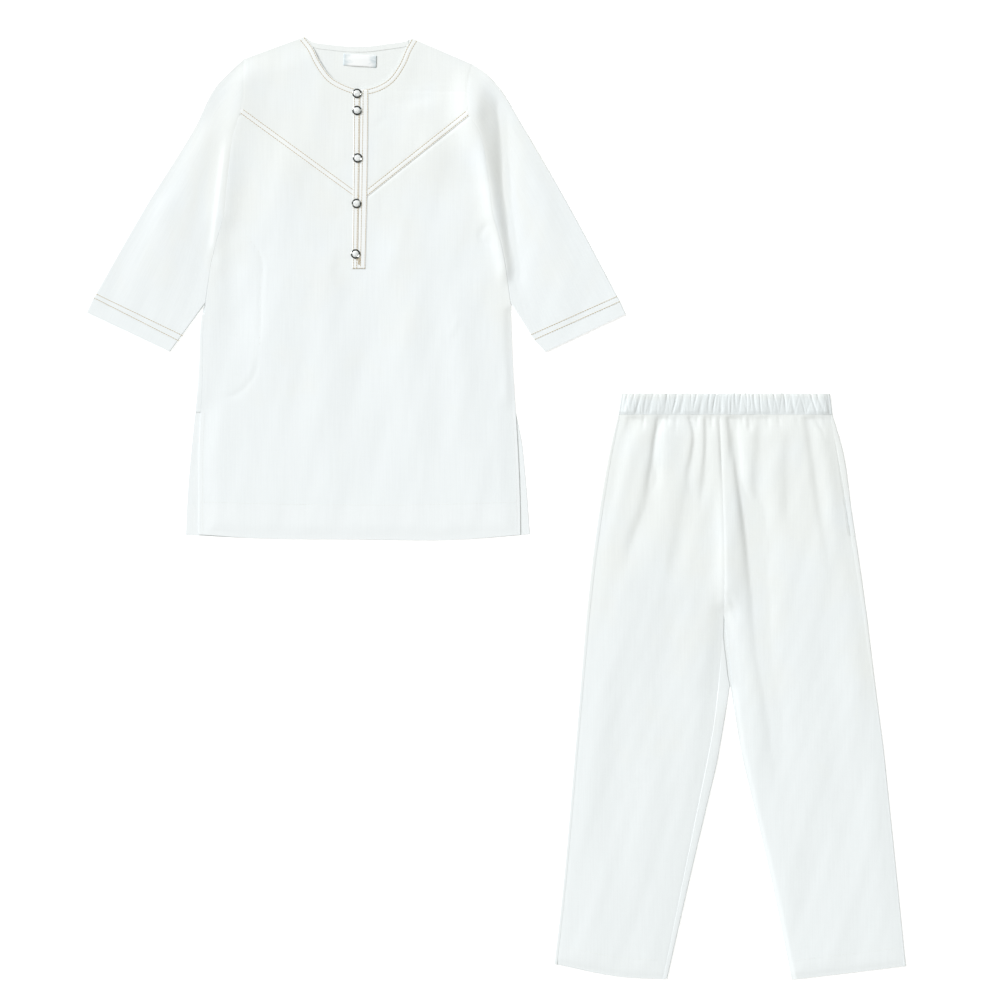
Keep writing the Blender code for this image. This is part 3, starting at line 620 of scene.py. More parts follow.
def quads_of(rows: int, columns: int) -> Array:
    """The four corners of each face of a grid, turning to the left as seen from above.

    Args:
        rows: how many rows of places it has.
        columns: how many columns.

    Returns:
        One row of four vertex numbers for each face.
    """
    index = np.arange(rows * columns).reshape(rows, columns)
    corners = (index[:-1, :-1], index[1:, :-1], index[1:, 1:], index[:-1, 1:])
    return np.stack(corners, axis=-1).reshape(-1, 4)


def mesh_object(name: str, points: Array, faces: Array) -> Object:
    """An object at the origin from points in millimetres and faces of equal size.

    Args:
        name: the object's name.
        points: one row of x, y and z for each vertex.
        faces: one row of vertex numbers for each face.

    Returns:
        The object, linked to the scene and shaded smooth.
    """
    mesh = bpy.data.meshes.new(name)
    mesh.vertices.add(len(points))
    mesh.vertices.foreach_set("co", (points * MM).astype(np.float32).ravel())
    mesh.loops.add(faces.size)
    mesh.loops.foreach_set("vertex_index", faces.astype(np.int32).ravel())
    mesh.polygons.add(len(faces))
    mesh.polygons.foreach_set("loop_start", np.arange(0, faces.size, faces.shape[1], dtype=np.int32))
    mesh.update(calc_edges=True)
    mesh.shade_smooth()
    made = bpy.data.objects.new(name, mesh)
    bpy.context.scene.collection.objects.link(made)
    return made


@dataclass
class Piece:
    """One cut piece of cloth, as grids that are welded where they share places."""

    name: str
    node: str
    finish: ClothFinish | SatinFinish
    hold: Hold
    rests_on: tuple[str, ...]
    thickness: float = CLOTH
    least_area: float = 0.31
    grids: list[tuple[Array, Array, Array, Array]] = field(default_factory=list)

    def add(
        self,
        places: Array,
        grain: Array,
        doubled: Array | float = 0.0,
        kept: Array | None = None,
    ) -> None:
        """Adds a grid of places.

        Args:
            places: rows by columns of x, y and z.
            grain: rows by columns of the cloth's own two coordinates.
            doubled: how far each place is of two layers, from 0 to 1.
            kept: for each face, whether it is there; all are if it is left out.
        """
        quads = quads_of(*places.shape[:2])
        if kept is not None:
            quads = quads[kept.ravel()]
        layers = np.broadcast_to(doubled, places.shape[:2])
        self.grids.append((places.reshape(-1, 3), grain.reshape(-1, 2), layers.ravel(), quads))

    def build(self, material: Material) -> Object:
        """Welds the grids, gives the cloth its coordinates and its wall, and hangs it on the frame.

        Args:
            material: the piece's finish.

        Returns:
            The finished object.
        """
        starts = np.cumsum([0] + [len(grid[0]) for grid in self.grids])
        points = np.concatenate([grid[0] for grid in self.grids])
        grain = np.concatenate([grid[1] for grid in self.grids])
        layers = np.concatenate([grid[2] for grid in self.grids])
        quads = np.concatenate([grid[3] + start for grid, start in zip(self.grids, starts)])
        keys = np.round(points / WELD).astype(np.int64)
        _, first, index = np.unique(keys, axis=0, return_index=True, return_inverse=True)
        made = mesh_object(self.name, points[first], index.reshape(-1)[quads])
        coordinates = made.data.uv_layers.new(name="cloth")
        coordinates.data.foreach_set("uv", grain[quads.ravel()].astype(np.float32).ravel())
        share = made.data.attributes.new("doubled", "FLOAT", "POINT")
        share.data.foreach_set("value", layers[first].astype(np.float32))
        wall = made.modifiers.new("wall", "SOLIDIFY")
        wall.thickness = self.thickness * MM
        wall.offset = 0.0
        wall.use_even_offset = True
        made.data.materials.append(material)
        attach(made, "root")
        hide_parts(self.node)
        return made

    def cut(self) -> tuple[tuple[float, float], float]:
        """The flat cut: the area is that of the grids, half of each face's crossed diagonals.

        Returns:
            The greatest width and length along the cloth in metres, and the area in square metres.
        """
        area = 0.0
        width = length = 0.0
        for points, grain, _, quads in self.grids:
            one, two, three, four = (points[quads[:, corner]] for corner in range(4))
            area += np.linalg.norm(np.cross(three - one, four - two), axis=1).sum() / 2
            low, high = grain.min(0), grain.max(0)
            width, length = max(width, high[0] - low[0]), max(length, high[1] - low[1])
        return (width * MM, length * MM), area * MM * MM

    def declare(self, made: Object, with_pieces: Sequence[Object] = ()) -> None:
        """Logs the piece's name with its flat cut: its greatest width and length, and its area.

        Args:
            made: the piece's object.
            with_pieces: the sewing that goes with it; not used.
        """
        (width, length), area = self.cut()
        area = min(max(area, self.least_area * width * length), width * length)
        LOG.info("%s: cut %.0f by %.0f mm, %.4f m2", made.name, width / MM, length / MM, area)


def fold_inset(rim: Array, end: Array, upper: float | Array) -> Array:
    """How far in from a folded edge the fold's middle lies: its radius, or less where it is narrow."""
    width = np.linalg.norm(end - rim, axis=-1, keepdims=True)
    return np.minimum(CLOTH / 2 + (np.mean(upper) - BACK_LEVEL) / 2, 0.6 * width)


def turned_up(
    rim: Array, inward: Array, end: Array, upper: float | Array
) -> list[tuple[Array, Array]]:
    """Cloth that lies flat, turns up round a fold and runs back over itself to an end.

    The fold is half a circle: at each angle the place is set in from the rim by the circle's
    own inset, and its height goes from the lower level to the upper one with the sine.

    Args:
        rim: the folded edge in the plan.
        inward: unit steps from the rim into the cloth.
        end: where the turned part ends.
        upper: the height of the turned part.

    Returns:
        Pairs of plan places and heights, from the lower layer to the end.
    """
    inset = fold_inset(rim, end, upper)
    outset = np.minimum(CLOTH / 2, 0.2 * inset)
    columns = []
    for angle in np.radians(np.linspace(-90.0, 90.0, BEND_STEPS + 1)):
        spot = rim + inward * (outset + (inset - outset) * (1 - np.cos(angle)))
        share = (np.sin(angle) + 1) / 2
        columns.append((spot, BACK_LEVEL + share * (upper - BACK_LEVEL)))
    start = rim + inward * inset
    for share in (0.5, 0.9, 1.0):
        columns.append((start + share * (end - start), np.broadcast_to(upper, len(rim)) * 1.0))
    return columns


def unit(steps: Array) -> Array:
    """The same steps, each 1 long."""
    return steps / np.linalg.norm(steps, axis=-1, keepdims=True)


def turned_grain(plan: Array, degrees: float) -> Array:
    """Cloth coordinates: the plan turned, so that the warp runs along a slanting piece.

    Args:
        plan: places in the plan.
        degrees: how far the piece slants.

    Returns:
        The turned places.
    """
    angle = np.radians(degrees)
    across, drop = plan[..., 0], plan[..., 1]
    turned = (across * np.cos(angle) + drop * np.sin(angle), drop * np.cos(angle) - across * np.sin(angle))
    return np.stack(turned, axis=-1)


def pressed_ring(
    place: Placement, plan: Array, upper: Array, heights: Array, under: Array | float
) -> tuple[Array, Array]:
    """A tube pressed flat: its upper half, one turned edge, its lower half and the other edge.

    Args:
        place: where the garment lies.
        plan: the tube's rows and columns, whose outer columns are the folded edges.
        upper: the columns that both halves have.
        heights: the height of the upper half.
        under: the height of the lower half, from right to left.

    Returns:
        The places round the tube in each row, and the length round it up to each of them.
    """
    left, right = plan[:, 0], plan[:, -1]
    right_edge = turned_up(right, unit(plan[:, -2] - right), upper[:, -1], heights[:, -1])
    left_edge = turned_up(left, unit(plan[:, 1] - left), upper[:, 0], heights[:, 0])
    parts = [place.places(upper, heights)]
    parts += [place.places(spot, height)[:, None] for spot, height in right_edge[-2::-1]]
    parts.append(place.places(upper[:, ::-1], under))
    parts += [place.places(spot, height)[:, None] for spot, height in left_edge]
    ring = np.concatenate(parts, axis=1)
    around = np.linalg.norm(np.diff(ring, axis=1), axis=-1)
    return ring, np.concatenate([np.zeros((len(ring), 1)), np.cumsum(around, axis=1)], axis=1)


@dataclass(frozen=True)
class Seam:
    """Rows of stitches sewn as one object."""

    name: str
    finish: ThreadFinish
    pitch: float = 2.6
    length: float = 2.45
    width: float = 0.58
    height: float = 0.2

    def sew(
        self,
        runs: Sequence[Array],
        top: Relief,
        garment: Placement,
        material: Material,
        crosswise: float = 0.0,
    ) -> Object:
        """Lays one short rounded bar of thread on the cloth for each stitch.

        A bar is four rings of six places and a point at each end. Its rings are ellipses across
        the row, narrower towards the ends, and its middle stands above the cloth.

        Args:
            runs: the rows in the plan.
            top: the height of the cloth's face at a place.
            garment: where the plan lies.
            material: the thread.
            crosswise: turns each stitch by this many degrees from its row.

        Returns:
            The object that holds all the stitches.
        """
        middles, ways = [], []
        for run in runs:
            length = walked(run)
            stops = np.arange(self.pitch / 2, length[-1], self.pitch)
            middles.append(np.column_stack([np.interp(stops, length, run[:, axis]) for axis in (0, 1)]))
            step = np.gradient(run, length, axis=0)
            ways.append(np.column_stack([np.interp(stops, length, step[:, axis]) for axis in (0, 1)]))
        middle, way = np.concatenate(middles), unit(np.concatenate(ways))
        way = turned_grain(way, crosswise)
        side = np.column_stack([-way[:, 1], way[:, 0]])
        ring_at, ring_size = np.array([-0.4, -0.18, 0.18, 0.4]), np.array([0.62, 1.0, 1.0, 0.62])
        angles = np.radians(np.arange(0, 360, 60))
        along = np.concatenate([np.repeat(ring_at, 6), [-0.5, 0.5]]) * self.length
        wide = np.concatenate([np.outer(ring_size, np.cos(angles)).ravel(), [0, 0]]) * self.width / 2
        high = np.concatenate([np.outer(ring_size, np.sin(angles)).ravel(), [-0.5, -0.5]]) * self.height
        high += self.height * 0.7 * (1 - (2 * along / self.length) ** 2)
        plan = middle[:, None] + along[None, :, None] * way[:, None] + wide[None, :, None] * side[:, None]
        level = top(middle)[:, None] + high[None]
        points = garment.places(plan, level).reshape(-1, 3)
        around = np.arange(6)
        beyond = (around + 1) % 6
        bands = [
            np.column_stack([r * 6 + around, r * 6 + 6 + around, r * 6 + 6 + beyond, r * 6 + beyond])
            for r in range(3)
        ]
        bands = np.concatenate(bands)
        sides = np.concatenate([bands[:, [0, 1, 2]], bands[:, [0, 2, 3]]])
        ends = np.concatenate(
            [
                np.column_stack([np.full(6, 24), around, beyond]),
                np.column_stack([np.full(6, 25), 18 + beyond, 18 + around]),
            ]
        )
        template = np.concatenate([sides, ends])[:, ::-1]
        faces = (template[None] + 26 * np.arange(len(middle))[:, None, None]).reshape(-1, 3)
        made = mesh_object(self.name, points, faces)
        made.data.materials.append(material)
        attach(made, "root")
        LOG.info("%s: %d stitches", self.name, len(middle))
        return made


@dataclass
class Tunic:
    """The tunic: its outlines as across and drop, its creases and how its seams are sewn."""

    cotton: ClothFinish
    tan: ThreadFinish
    white: ThreadFinish
    place: Placement = Placement(-137.5, 472.0)
    left_tip: Point = (-115.2, 23.0)
    right_tip: Point = (114.0, 28.0)
    left_neck_point: Point = (-54.0, 0.5)
    right_neck_point: Point = (53.5, 2.0)
    left_yoke_end: Point = (-118.6, 78.0)
    right_yoke_end: Point = (110.7, 80.0)
    left_underarm: Point = (-134.0, 177.0)
    right_underarm: Point = (134.0, 177.0)
    left_junction: Point = (-153.0, 267.0)
    right_junction: Point = (152.1, 267.0)
    left_seam_top: Point = (-153.8, 277.0)
    right_seam_top: Point = (152.5, 277.0)
    left_slit_top: Point = (-157.5, 376.0)
    right_slit_top: Point = (157.3, 376.0)
    back_scoop: Rows = ((-46.0, 5.5), (-28.5, 8.4), (6.0, 10.3), (30.0, 7.6), (46.5, 5.0))
    left_neck: Rows = ((-46.2, 10.6), (-38.5, 25.6), (-25.6, 42.2), (-14.0, 48.6))
    right_neck: Rows = ((11.9, 51.9), (28.8, 43.8), (41.3, 26.9), (48.2, 11.0))
    neck_bottom: float = 53.3
    slit_end: Point = (-2.6, 227.0)
    slit_half: float = 0.6
    left_yoke_point: float = 162.6
    right_yoke_point: float = 168.6
    placket: Table = ((53.8, -5.0, 2.3, 10.0), (140.0, -5.3, 1.2, 9.2), (233.0, -6.2, -0.4, 7.1))
    snaps: Rows = ((-1.5, 57.4), (-1.5, 74.5), (-0.9, 122.0), (-2.0, 167.5), (-3.0, 218.0))
    # Where each ring gets a painted highlight in place of a reflection. Columns: two angles in degrees,
    # anticlockwise from the right.
    painted_glint: Rows = ((175.0, -8.0), (150.0, 8.0), (-12.0, 160.0), (35.0, 200.0), (-35.0, 165.0))
    # how far round each of the two painted highlights reaches, in radians
    painted_glint_reach: Point = (0.3, 0.2)
    ring_radius: float = 4.02
    ring_wide: float = 0.72
    ring_high: float = 0.55
    cap_radius: float = 3.4
    cap_foot: float = 3.3
    cap_base: float = 0.45
    cap_rise: float = 0.85
    # A strip's section, wrapped under itself along both edges. Columns: share across, rise.
    placket_section: Rows = (
        (0.46, 0.0), (0.2, 0.0), (0.03, 0.0), (0.01, 0.03), (0.0, 0.1), (0.01, 0.17), (0.03, 0.2), (0.2, 0.2),
        (0.5, 0.2), (0.8, 0.2), (0.97, 0.2), (0.99, 0.17), (1.0, 0.1), (0.99, 0.03), (0.97, 0.0), (0.8, 0.0),
        (0.54, 0.0),
    )
    placket_loft: float = 0.65
    placket_apart: float = 0.12
    placket_cloth: float = 0.12
    placket_rest: float = 0.08
    placket_face: float = 0.27
    facing_ends: Rows = ((-50.0, 3.7), (50.2, 4.0))
    facing_depth: float = 5.6
    facing_taper: float = 0.985
    facing_level: float = 0.64
    label_half: Point = (16.5, 6.0)
    label_middle: Point = (1.5, 24.6)
    label_tilt: float = -2.5
    bag_line: Rows = ((-114.0, 198.5), (-99.5, 216.7), (-98.5, 262.0), (-99.0, 309.0))
    tack_line: Rows = ((0.9, 222.0), (0.4, 229.0))
    hem_row: Rows = ((-158.5, 466.0), (-80.0, 468.0), (80.0, 468.5), (160.0, 466.0))
    slit_row: float = 3.6
    lap: float = 3.0
    stitch_edge: float = 1.1
    stitch_band: float = 5.4
    stitch_groove: float = 0.1
    groove_reach: float = 1.1
    band_puff: float = 0.08
    puff_reach: float = 1.6
    band_layers: float = 0.45
    hem_layers: float = 0.15
    hem_start: float = 467.5
    slit_turning: float = 4.2
    cuff_rows: tuple[Rows, ...] = (
        ((-262.2, 258.1), (-176.5, 299.3)),
        ((-265.2, 261.5), (-180.5, 304.4)),
        ((258.8, 260.3), (171.9, 299.1)),
        ((261.5, 265.4), (175.3, 303.9)),
    )
    right_puff: Rows = ((117.0, 34.0), (118.5, 54.0), (117.0, 86.0), (122.0, 112.0), (131.0, 150.0))
    right_ridge: Rows = ((119.0, 96.0), (128.5, 133.0), (133.5, 165.0), (142.0, 205.0), (151.0, 256.0))
    right_valley: Rows = ((138.5, 44.0), (142.5, 86.0), (144.0, 130.0), (147.5, 170.0), (158.0, 268.0))
    creases: tuple[Crease, ...] = (
        Crease(((-70.0, 90.0), (-78.0, 255.0), (-86.0, 420.0)), 26.0, 0.9),
        Crease(((-35.0, 200.0), (-32.0, 340.0), (-40.0, 480.0)), 20.0, 0.8),
        Crease(((45.0, 180.0), (52.0, 325.0), (60.0, 470.0)), 24.0, 0.9),
        Crease(((96.0, 230.0), (104.0, 355.0), (112.0, 480.0)), 17.0, 0.8),
        Crease(((62.0, 60.0), (70.0, 105.0), (74.0, 150.0)), 20.0, 0.6),
        Crease(((-150.0, 70.0), (-182.0, 180.0), (-208.0, 290.0)), 19.0, 1.1),
        Crease(((172.0, 90.0), (190.0, 190.0), (208.0, 290.0)), 20.0, 0.9),
        Crease(((-188.0, 150.0), (-214.0, 220.0), (-236.0, 290.0)), 11.0, 0.6),
        Crease(((-130.5, 96.0), (-136.5, 144.0), (-145.5, 214.0), (-151.0, 250.0)), 7.5, 0.9, 0.5, 0.2, 0.15),
        Crease(right_puff, 38.0, 1.4, -0.62, 0.4, 0.5),
        Crease(right_puff, 15.0, 2.9, -0.2, 0.4, 0.5),
        Crease(right_ridge, 8.0, 2.0, 0.0, 0.3, 0.16),
        Crease(right_valley, 9.0, -1.5, 0.3, 0.15, 0.14),
        Crease(((129.0, 186.0), (122.0, 202.0), (138.0, 215.0)), 3.0, -0.4),
        Crease(((92.0, 300.0), (97.0, 288.0), (101.0, 276.0)), 3.0, 0.18),
        Crease(((-10.0, 122.0), (-20.0, 131.0), (-30.0, 138.0)), 3.0, -0.35, 0.0, 0.1, 0.6),
        Crease(((-8.0, 168.0), (-18.0, 178.0), (-27.0, 190.0)), 3.5, -0.35, 0.0, 0.1, 0.6),
        Crease(((-8.0, 219.0), (-17.0, 226.0), (-26.0, 238.0)), 3.5, -0.4, 0.0, 0.1, 0.6),
        Crease(((10.0, 92.0), (19.0, 88.0), (30.0, 80.0)), 4.0, -0.25, 0.0, 0.1, 0.6),
        Crease(bag_line, 1.8, -0.26, 0.3, 0.2, 0.1),
        Crease(((-99.0, 305.0), (-107.0, 343.0), (-130.5, 361.0), (-146.5, 358.0)), 2.6, -0.3, 0.3, 0.4, 0.3),
        Crease(((-127.0, 205.0), (-124.0, 262.0), (-130.0, 330.0)), 15.0, -0.8, 0.0, 0.25, 0.4),
    )
    armhole_rise: float = 1.0
    armhole_reach: float = 15.0
    armhole_groove: float = 0.08
    deepest: float = -0.95
    shut_reach: float = 10.0
    slit_rest: float = 12.0
    shoulder_reach: float = 26.0
    side_reach: float = 9.0
    slit_fall: float = 0.85
    slit_reach: float = 22.0
    hem_fall: float = 0.6
    hem_reach: float = 16.0
    under_yoke: float = 0.46
    beside_yoke: float = 0.27
    turned_fall: float = 0.9
    turned_rows: int = 12
    side_steps: tuple[int, ...] = (44, 46, 5, 50, 62)
    sewing: list[tuple[Piece, Object]] = field(default_factory=list)

    def __post_init__(self) -> None:
        """Works out the runs that several pieces share."""
        self.upper_armholes = {
            "left": (self.left_tip, (-115.2, 42.8), (-115.6, 61.0), self.left_yoke_end),
            "right": (self.right_tip, (110.5, 39.8), (108.3, 62.9), self.right_yoke_end),
        }
        self.lower_armholes = {
            "left": (self.left_yoke_end, (-124.5, 96.0), (-130.0, 135.0), self.left_underarm),
            "right": (self.right_yoke_end, (118.9, 92.4), (129.4, 138.7), self.right_underarm),
        }
        self.upper_sides = {
            "left": (self.left_underarm, (-146.6, 225.0), self.left_junction),
            "right": (self.right_underarm, (144.1, 214.5), self.right_junction),
        }
        self.side_seams = {
            "left": (self.left_seam_top, (-155.5, 304.0), (-156.2, 354.0), self.left_slit_top),
            "right": (self.right_seam_top, (153.1, 294.0), (154.1, 321.0), self.right_slit_top),
        }
        self.side_fold = ((-157.2, 277.0), (-158.9, 292.0), (-160.2, 330.0), (-163.6, 376.0))
        self.front_slits = {
            "left": (self.left_slit_top, (-159.0, 404.0), (-159.5, 464.0), (-159.5, 498.5)),
            "right": (self.right_slit_top, (160.1, 426.0), (161.4, 461.0), (162.0, 498.8)),
        }
        self.back_slits = {
            "left": (self.side_fold[-1], (-165.5, 394.0), (-171.5, 464.0), (-173.0, 499.0)),
            "right": (self.right_slit_top, (163.5, 407.0), (166.8, 439.0), (171.5, 498.3)),
        }
        self.hem = ((-108.5, 502.0), (-3.2, 503.5), (-2.0, 503.5), (103.5, 503.5))
        self.outer = {
            "left": ((-129.0, 35.5), (-140.0, 46.5), (-164.2, 91.8), (-211.2, 167.3)),
            "right": ((129.4, 38.7), (138.9, 49.2), (163.1, 88.2), (209.4, 168.2)),
        }
        self.cuff_seam = {
            "left": ((-265.8, 262.6), (-181.1, 305.4)),
            "right": ((262.0, 266.5), (175.9, 304.9)),
        }
        self.cuff_edge = {
            "left": ((-272.4, 276.4), (-188.7, 315.8)),
            "right": ((267.2, 278.0), (186.6, 315.9)),
        }
        top = (-0.8, self.neck_bottom)
        self.neck_runs = [
            smooth((self.left_neck_point, *self.left_neck, top), 24),
            smooth((top, *self.right_neck, self.right_neck_point), 24),
        ]
        self.yoke_seams = [
            smooth((self.left_yoke_end, self.slit_side(self.left_yoke_point, -1)), 4),
            smooth((self.slit_side(self.right_yoke_point, 1), self.right_yoke_end), 4),
        ]
        self.side_runs = [
            smooth(rows, 8)
            for side in ("left", "right")
            for rows in (self.upper_sides[side], self.side_seams[side])
        ]
        self.plain_side_runs = [self.side_runs[3]]
        self.shut_sides = [self.side_runs[0][4:], self.side_runs[1], self.side_runs[2][7:], self.side_runs[3]]
        self.hem_run = smooth((self.front_slits["left"][-1], *self.hem, self.front_slits["right"][-1]), 8)
        self.open_runs = [smooth(self.front_slits[side], 8) for side in ("left", "right")] + [self.hem_run]
        self.shoulders = [
            smooth((self.left_neck_point, self.left_tip), 2),
            smooth((self.right_neck_point, self.right_tip), 2),
        ]
        self.sleeve_runs = [
            smooth(rows, 12)
            for side, tip, junction in (
                ("left", self.left_tip, self.left_junction),
                ("right", self.right_tip, self.right_junction),
            )
            for rows in (
                (tip, *self.outer[side], *self.cuff_edge[side]),
                (junction, self.cuff_edge[side][1]),
            )
        ]
        self.armhole_runs = [
            np.concatenate([smooth(self.upper_armholes[side], 6), smooth(self.lower_armholes[side], 6)[1:]])
            for side in ("left", "right")
        ]
        self.slit_run = np.array([top, self.slit_end])
        self.ripple = Ripple()

    def slit_side(self, drop: float, side: int) -> tuple[float, float]:
        """A place on the neck slit's left side, -1, or its right side, 1."""
        middle = np.interp(drop, (self.neck_bottom, self.slit_end[1]), (-0.8, self.slit_end[0]))
        return (float(middle) + side * self.slit_half, drop)

    def relief(self, plan: Array) -> Array:
        """Height of the upper layer over its resting level.

        A ridge along each armhole, as a bell curve of the distance, and the creases. All of it
        dies away towards the closed edges and the placket.

        Args:
            plan: places in the plan.

        Returns:
            One height for each place.
        """
        armhole = closest(plan, self.armhole_runs)
        rise = self.armhole_rise * np.exp(-((armhole / self.armhole_reach) ** 2))
        shut = self.shut_sides + self.open_runs + self.shoulders + self.sleeve_runs + self.neck_runs
        held = 1 - np.exp(-((closest(plan, shut) / self.shut_reach) ** 2))
        beside_slit = np.maximum(closest(plan, [self.slit_run]) - self.slit_rest, 0.0)
        held *= 1 - np.exp(-((beside_slit / self.shut_reach) ** 2))
        uneven = np.maximum(rise + added(plan, self.creases) + self.ripple.at(plan), self.deepest)
        return uneven * held - self.armhole_groove * np.exp(-((armhole / self.stitch_edge) ** 2))

    def front_level(self, plan: Array) -> Array:
        """Middle of the front's cloth: down on the back at closed edges, up and uneven inside.

        Args:
            plan: places in the plan.

        Returns:
            One height for each place.
        """
        shut = soft_step(closest(plan, self.plain_side_runs) / self.side_reach)
        shut *= soft_step(closest(plan, self.shoulders) / self.shoulder_reach)
        slit = self.slit_fall * (1 - soft_step(closest(plan, self.open_runs[:2]) / self.slit_reach))
        hem = self.hem_fall * (1 - soft_step(closest(plan, self.open_runs[2:]) / self.hem_reach))
        low = np.maximum(slit, hem)
        return EDGE_LEVEL + (FRONT_LEVEL - EDGE_LEVEL) * shut - low * shut + self.relief(plan)

    def yoke_level(self, plan: Array) -> Array:
        """The front's level, with a soft groove under each row of stitches at neck and seam.

        Args:
            plan: places in the plan.

        Returns:
            One height for each place.
        """
        level = self.front_level(plan)
        for runs in (self.neck_runs, self.yoke_seams):
            edge = closest(plan, runs)
            for row in (self.stitch_edge, self.stitch_band):
                level = level - self.stitch_groove * np.exp(-(((edge - row) / self.groove_reach) ** 2))
            middle = (self.stitch_edge + self.stitch_band) / 2
            level = level + self.band_puff * np.exp(-(((edge - middle) / self.puff_reach) ** 2))
        return level

    def doubled(self, plan: Array) -> Array:
        """How far the cloth is of two layers: the bands along the neck and the yoke's seam."""
        edge = closest(plan, self.neck_runs + self.yoke_seams)
        return self.band_layers * soft_step(self.stitch_band + 0.5 - edge)

    def hem_share(self, plan: Array) -> Array:
        """How far the cloth is of two layers in the turned hem and along the slits."""
        slits = soft_step(self.slit_turning - closest(plan, self.open_runs[:2]))
        return self.hem_layers * np.maximum(soft_step((plan[..., 1] - self.hem_start) / 1.5), slits)

    def build_back(self) -> None:
        """The back lies on the surface, its left edge folded up onto the front."""
        steps = (26, *self.side_steps)
        left, right = (
            walk(
                *zip(
                    (
                        self.upper_armholes[side],
                        self.lower_armholes[side],
                        self.upper_sides[side],
                        (self.upper_sides[side][-1], edge[0]),
                        edge,
                        self.back_slits[side],
                    ),
                    steps,
                )
            )
            for side, edge in (("left", self.side_fold), ("right", self.side_seams["right"]))
        )
        top = walk(
            ((self.left_tip, self.left_neck_point), 22),
            ((self.left_neck_point, *self.back_scoop, self.right_neck_point), 40),
            ((self.right_neck_point, self.right_tip), 22),
        )
        bottom = smooth((left[-1], self.hem[0], self.hem[1], self.hem[3], right[-1]), 84)
        plan = patch(top, bottom, left, right)
        first = sum(steps[:4])
        rows = slice(first, first + steps[4] + 1)
        rim = plan[rows, 0].copy()
        inward = unit(plan[rows, 1] - rim)
        end = smooth(self.side_seams["left"], steps[4])
        plan[rows, 0] = rim + inward * fold_inset(rim, end, FRONT_LEVEL - 0.05)
        plan = edged(plan)
        lift = 0.3 * soft_step(self.ripple.at(plan) / 0.3) * soft_step(closest(plan, self.side_runs) / 20.0)
        level = BACK_LEVEL + lift * soft_step((closest(plan, self.neck_runs) - 6.0) / 20.0)
        level[:, :3] = BACK_LEVEL
        piece = Piece("tunic_back_cloth", "tunic_back", self.cotton, Hold.LAID, ("floor",))
        piece.add(self.place.places(plan, level), plan, self.hem_share(plan))
        fall = soft_step((np.arange(steps[4] + 1) - steps[4] + self.turned_rows) / self.turned_rows)
        columns = turned_up(rim, inward, end, FRONT_LEVEL - 0.05 - self.turned_fall * fall)
        places = np.stack([self.place.places(spot, height) for spot, height in columns], axis=1)
        grain = np.stack([spot for spot, _ in columns], axis=1)
        piece.add(edged(places, "b")[:, ::-1], edged(grain, "b")[:, ::-1])
        self.dress(piece)

    def build_yokes(self) -> None:
        """The two upper fronts, from the shoulder to the slanting seam."""
        left_top = walk(
            ((self.left_tip, self.left_neck_point), 56),
            ((self.left_neck_point, *self.left_neck, self.slit_side(self.neck_bottom, -1)), 74),
        )
        left_foot = smooth((self.left_yoke_end, self.slit_side(self.left_yoke_point, -1)), 130)
        plans = {
            "left": patch(
                left_top,
                left_foot,
                smooth(self.upper_armholes["left"], 78),
                smooth((left_top[-1], left_foot[-1]), 78),
            ),
        }
        right_top = walk(
            ((self.slit_side(self.neck_bottom, 1), *self.right_neck, self.right_neck_point), 74),
            ((self.right_neck_point, self.right_tip), 56),
        )
        right_foot = smooth((self.slit_side(self.right_yoke_point, 1), self.right_yoke_end), 130)
        plans["right"] = patch(
            right_top,
            right_foot,
            smooth((right_top[0], right_foot[0]), 78),
            smooth(self.upper_armholes["right"], 78),
        )
        for side, plan in plans.items():
            plan = edged(plan)
            name = f"tunic_yoke_{side}"
            piece = Piece(f"{name}_cloth", name, self.cotton, Hold.LAID, ("tunic_back_cloth",))
            piece.add(self.place.places(plan, self.yoke_level(plan)), plan, self.doubled(plan))
            self.dress(piece)

    def build_front(self) -> None:
        """The lower front, whose top edge runs on under the yokes and whose slit is cut out."""
        lift = (0.0, -self.lap)
        ends = {
            "left": tuple(np.add(self.left_yoke_end, lift)),
            "right": tuple(np.add(self.right_yoke_end, lift)),
        }
        points = {
            "left": tuple(np.add(self.slit_side(self.left_yoke_point, -1), lift)),
            "right": tuple(np.add(self.slit_side(self.right_yoke_point, 1), lift)),
        }
        steps = (2, *self.side_steps)
        sides = {
            side: walk(
                *zip(
                    (
                        (ends[side], self.lower_armholes[side][0]),
                        self.lower_armholes[side],
                        self.upper_sides[side],
                        (self.upper_sides[side][-1], self.side_seams[side][0]),
                        self.side_seams[side],
                        self.front_slits[side],
                    ),
                    steps,
                )
            )
            for side in ("left", "right")
        }
        half = 72
        top = walk(
            ((ends["left"], points["left"]), half),
            ((points["left"], points["right"]), 1),
            ((points["right"], ends["right"]), half),
        )
        foot = walk(
            ((self.front_slits["left"][-1], self.hem[0], self.hem[1]), half),
            (self.hem[1:3], 1),
            ((self.hem[2], self.hem[3], self.front_slits["right"][-1]), half),
        )
        plan = edged(patch(top, foot, sides["left"], sides["right"]))
        middle = half + 1
        under = self.beside_yoke * (1 - soft_step((closest(plan, self.yoke_seams) - 0.2) / 1.8))
        seam = np.concatenate(self.yoke_seams)
        above = np.interp(plan[..., 0], seam[:, 0], seam[:, 1]) > plan[..., 1]
        under = np.where(above, self.under_yoke, under)
        level = self.front_level(plan) - under
        kept = np.ones((plan.shape[0] - 1, plan.shape[1] - 1), dtype=bool)
        kept[:, middle] = plan[1:, middle, 1] > self.slit_end[1]
        piece = Piece("tunic_front_cloth", "tunic_front", self.cotton, Hold.LAID, ("tunic_back_cloth",))
        piece.add(self.place.places(plan, level), plan, self.hem_share(plan), kept)
        self.dress(piece)

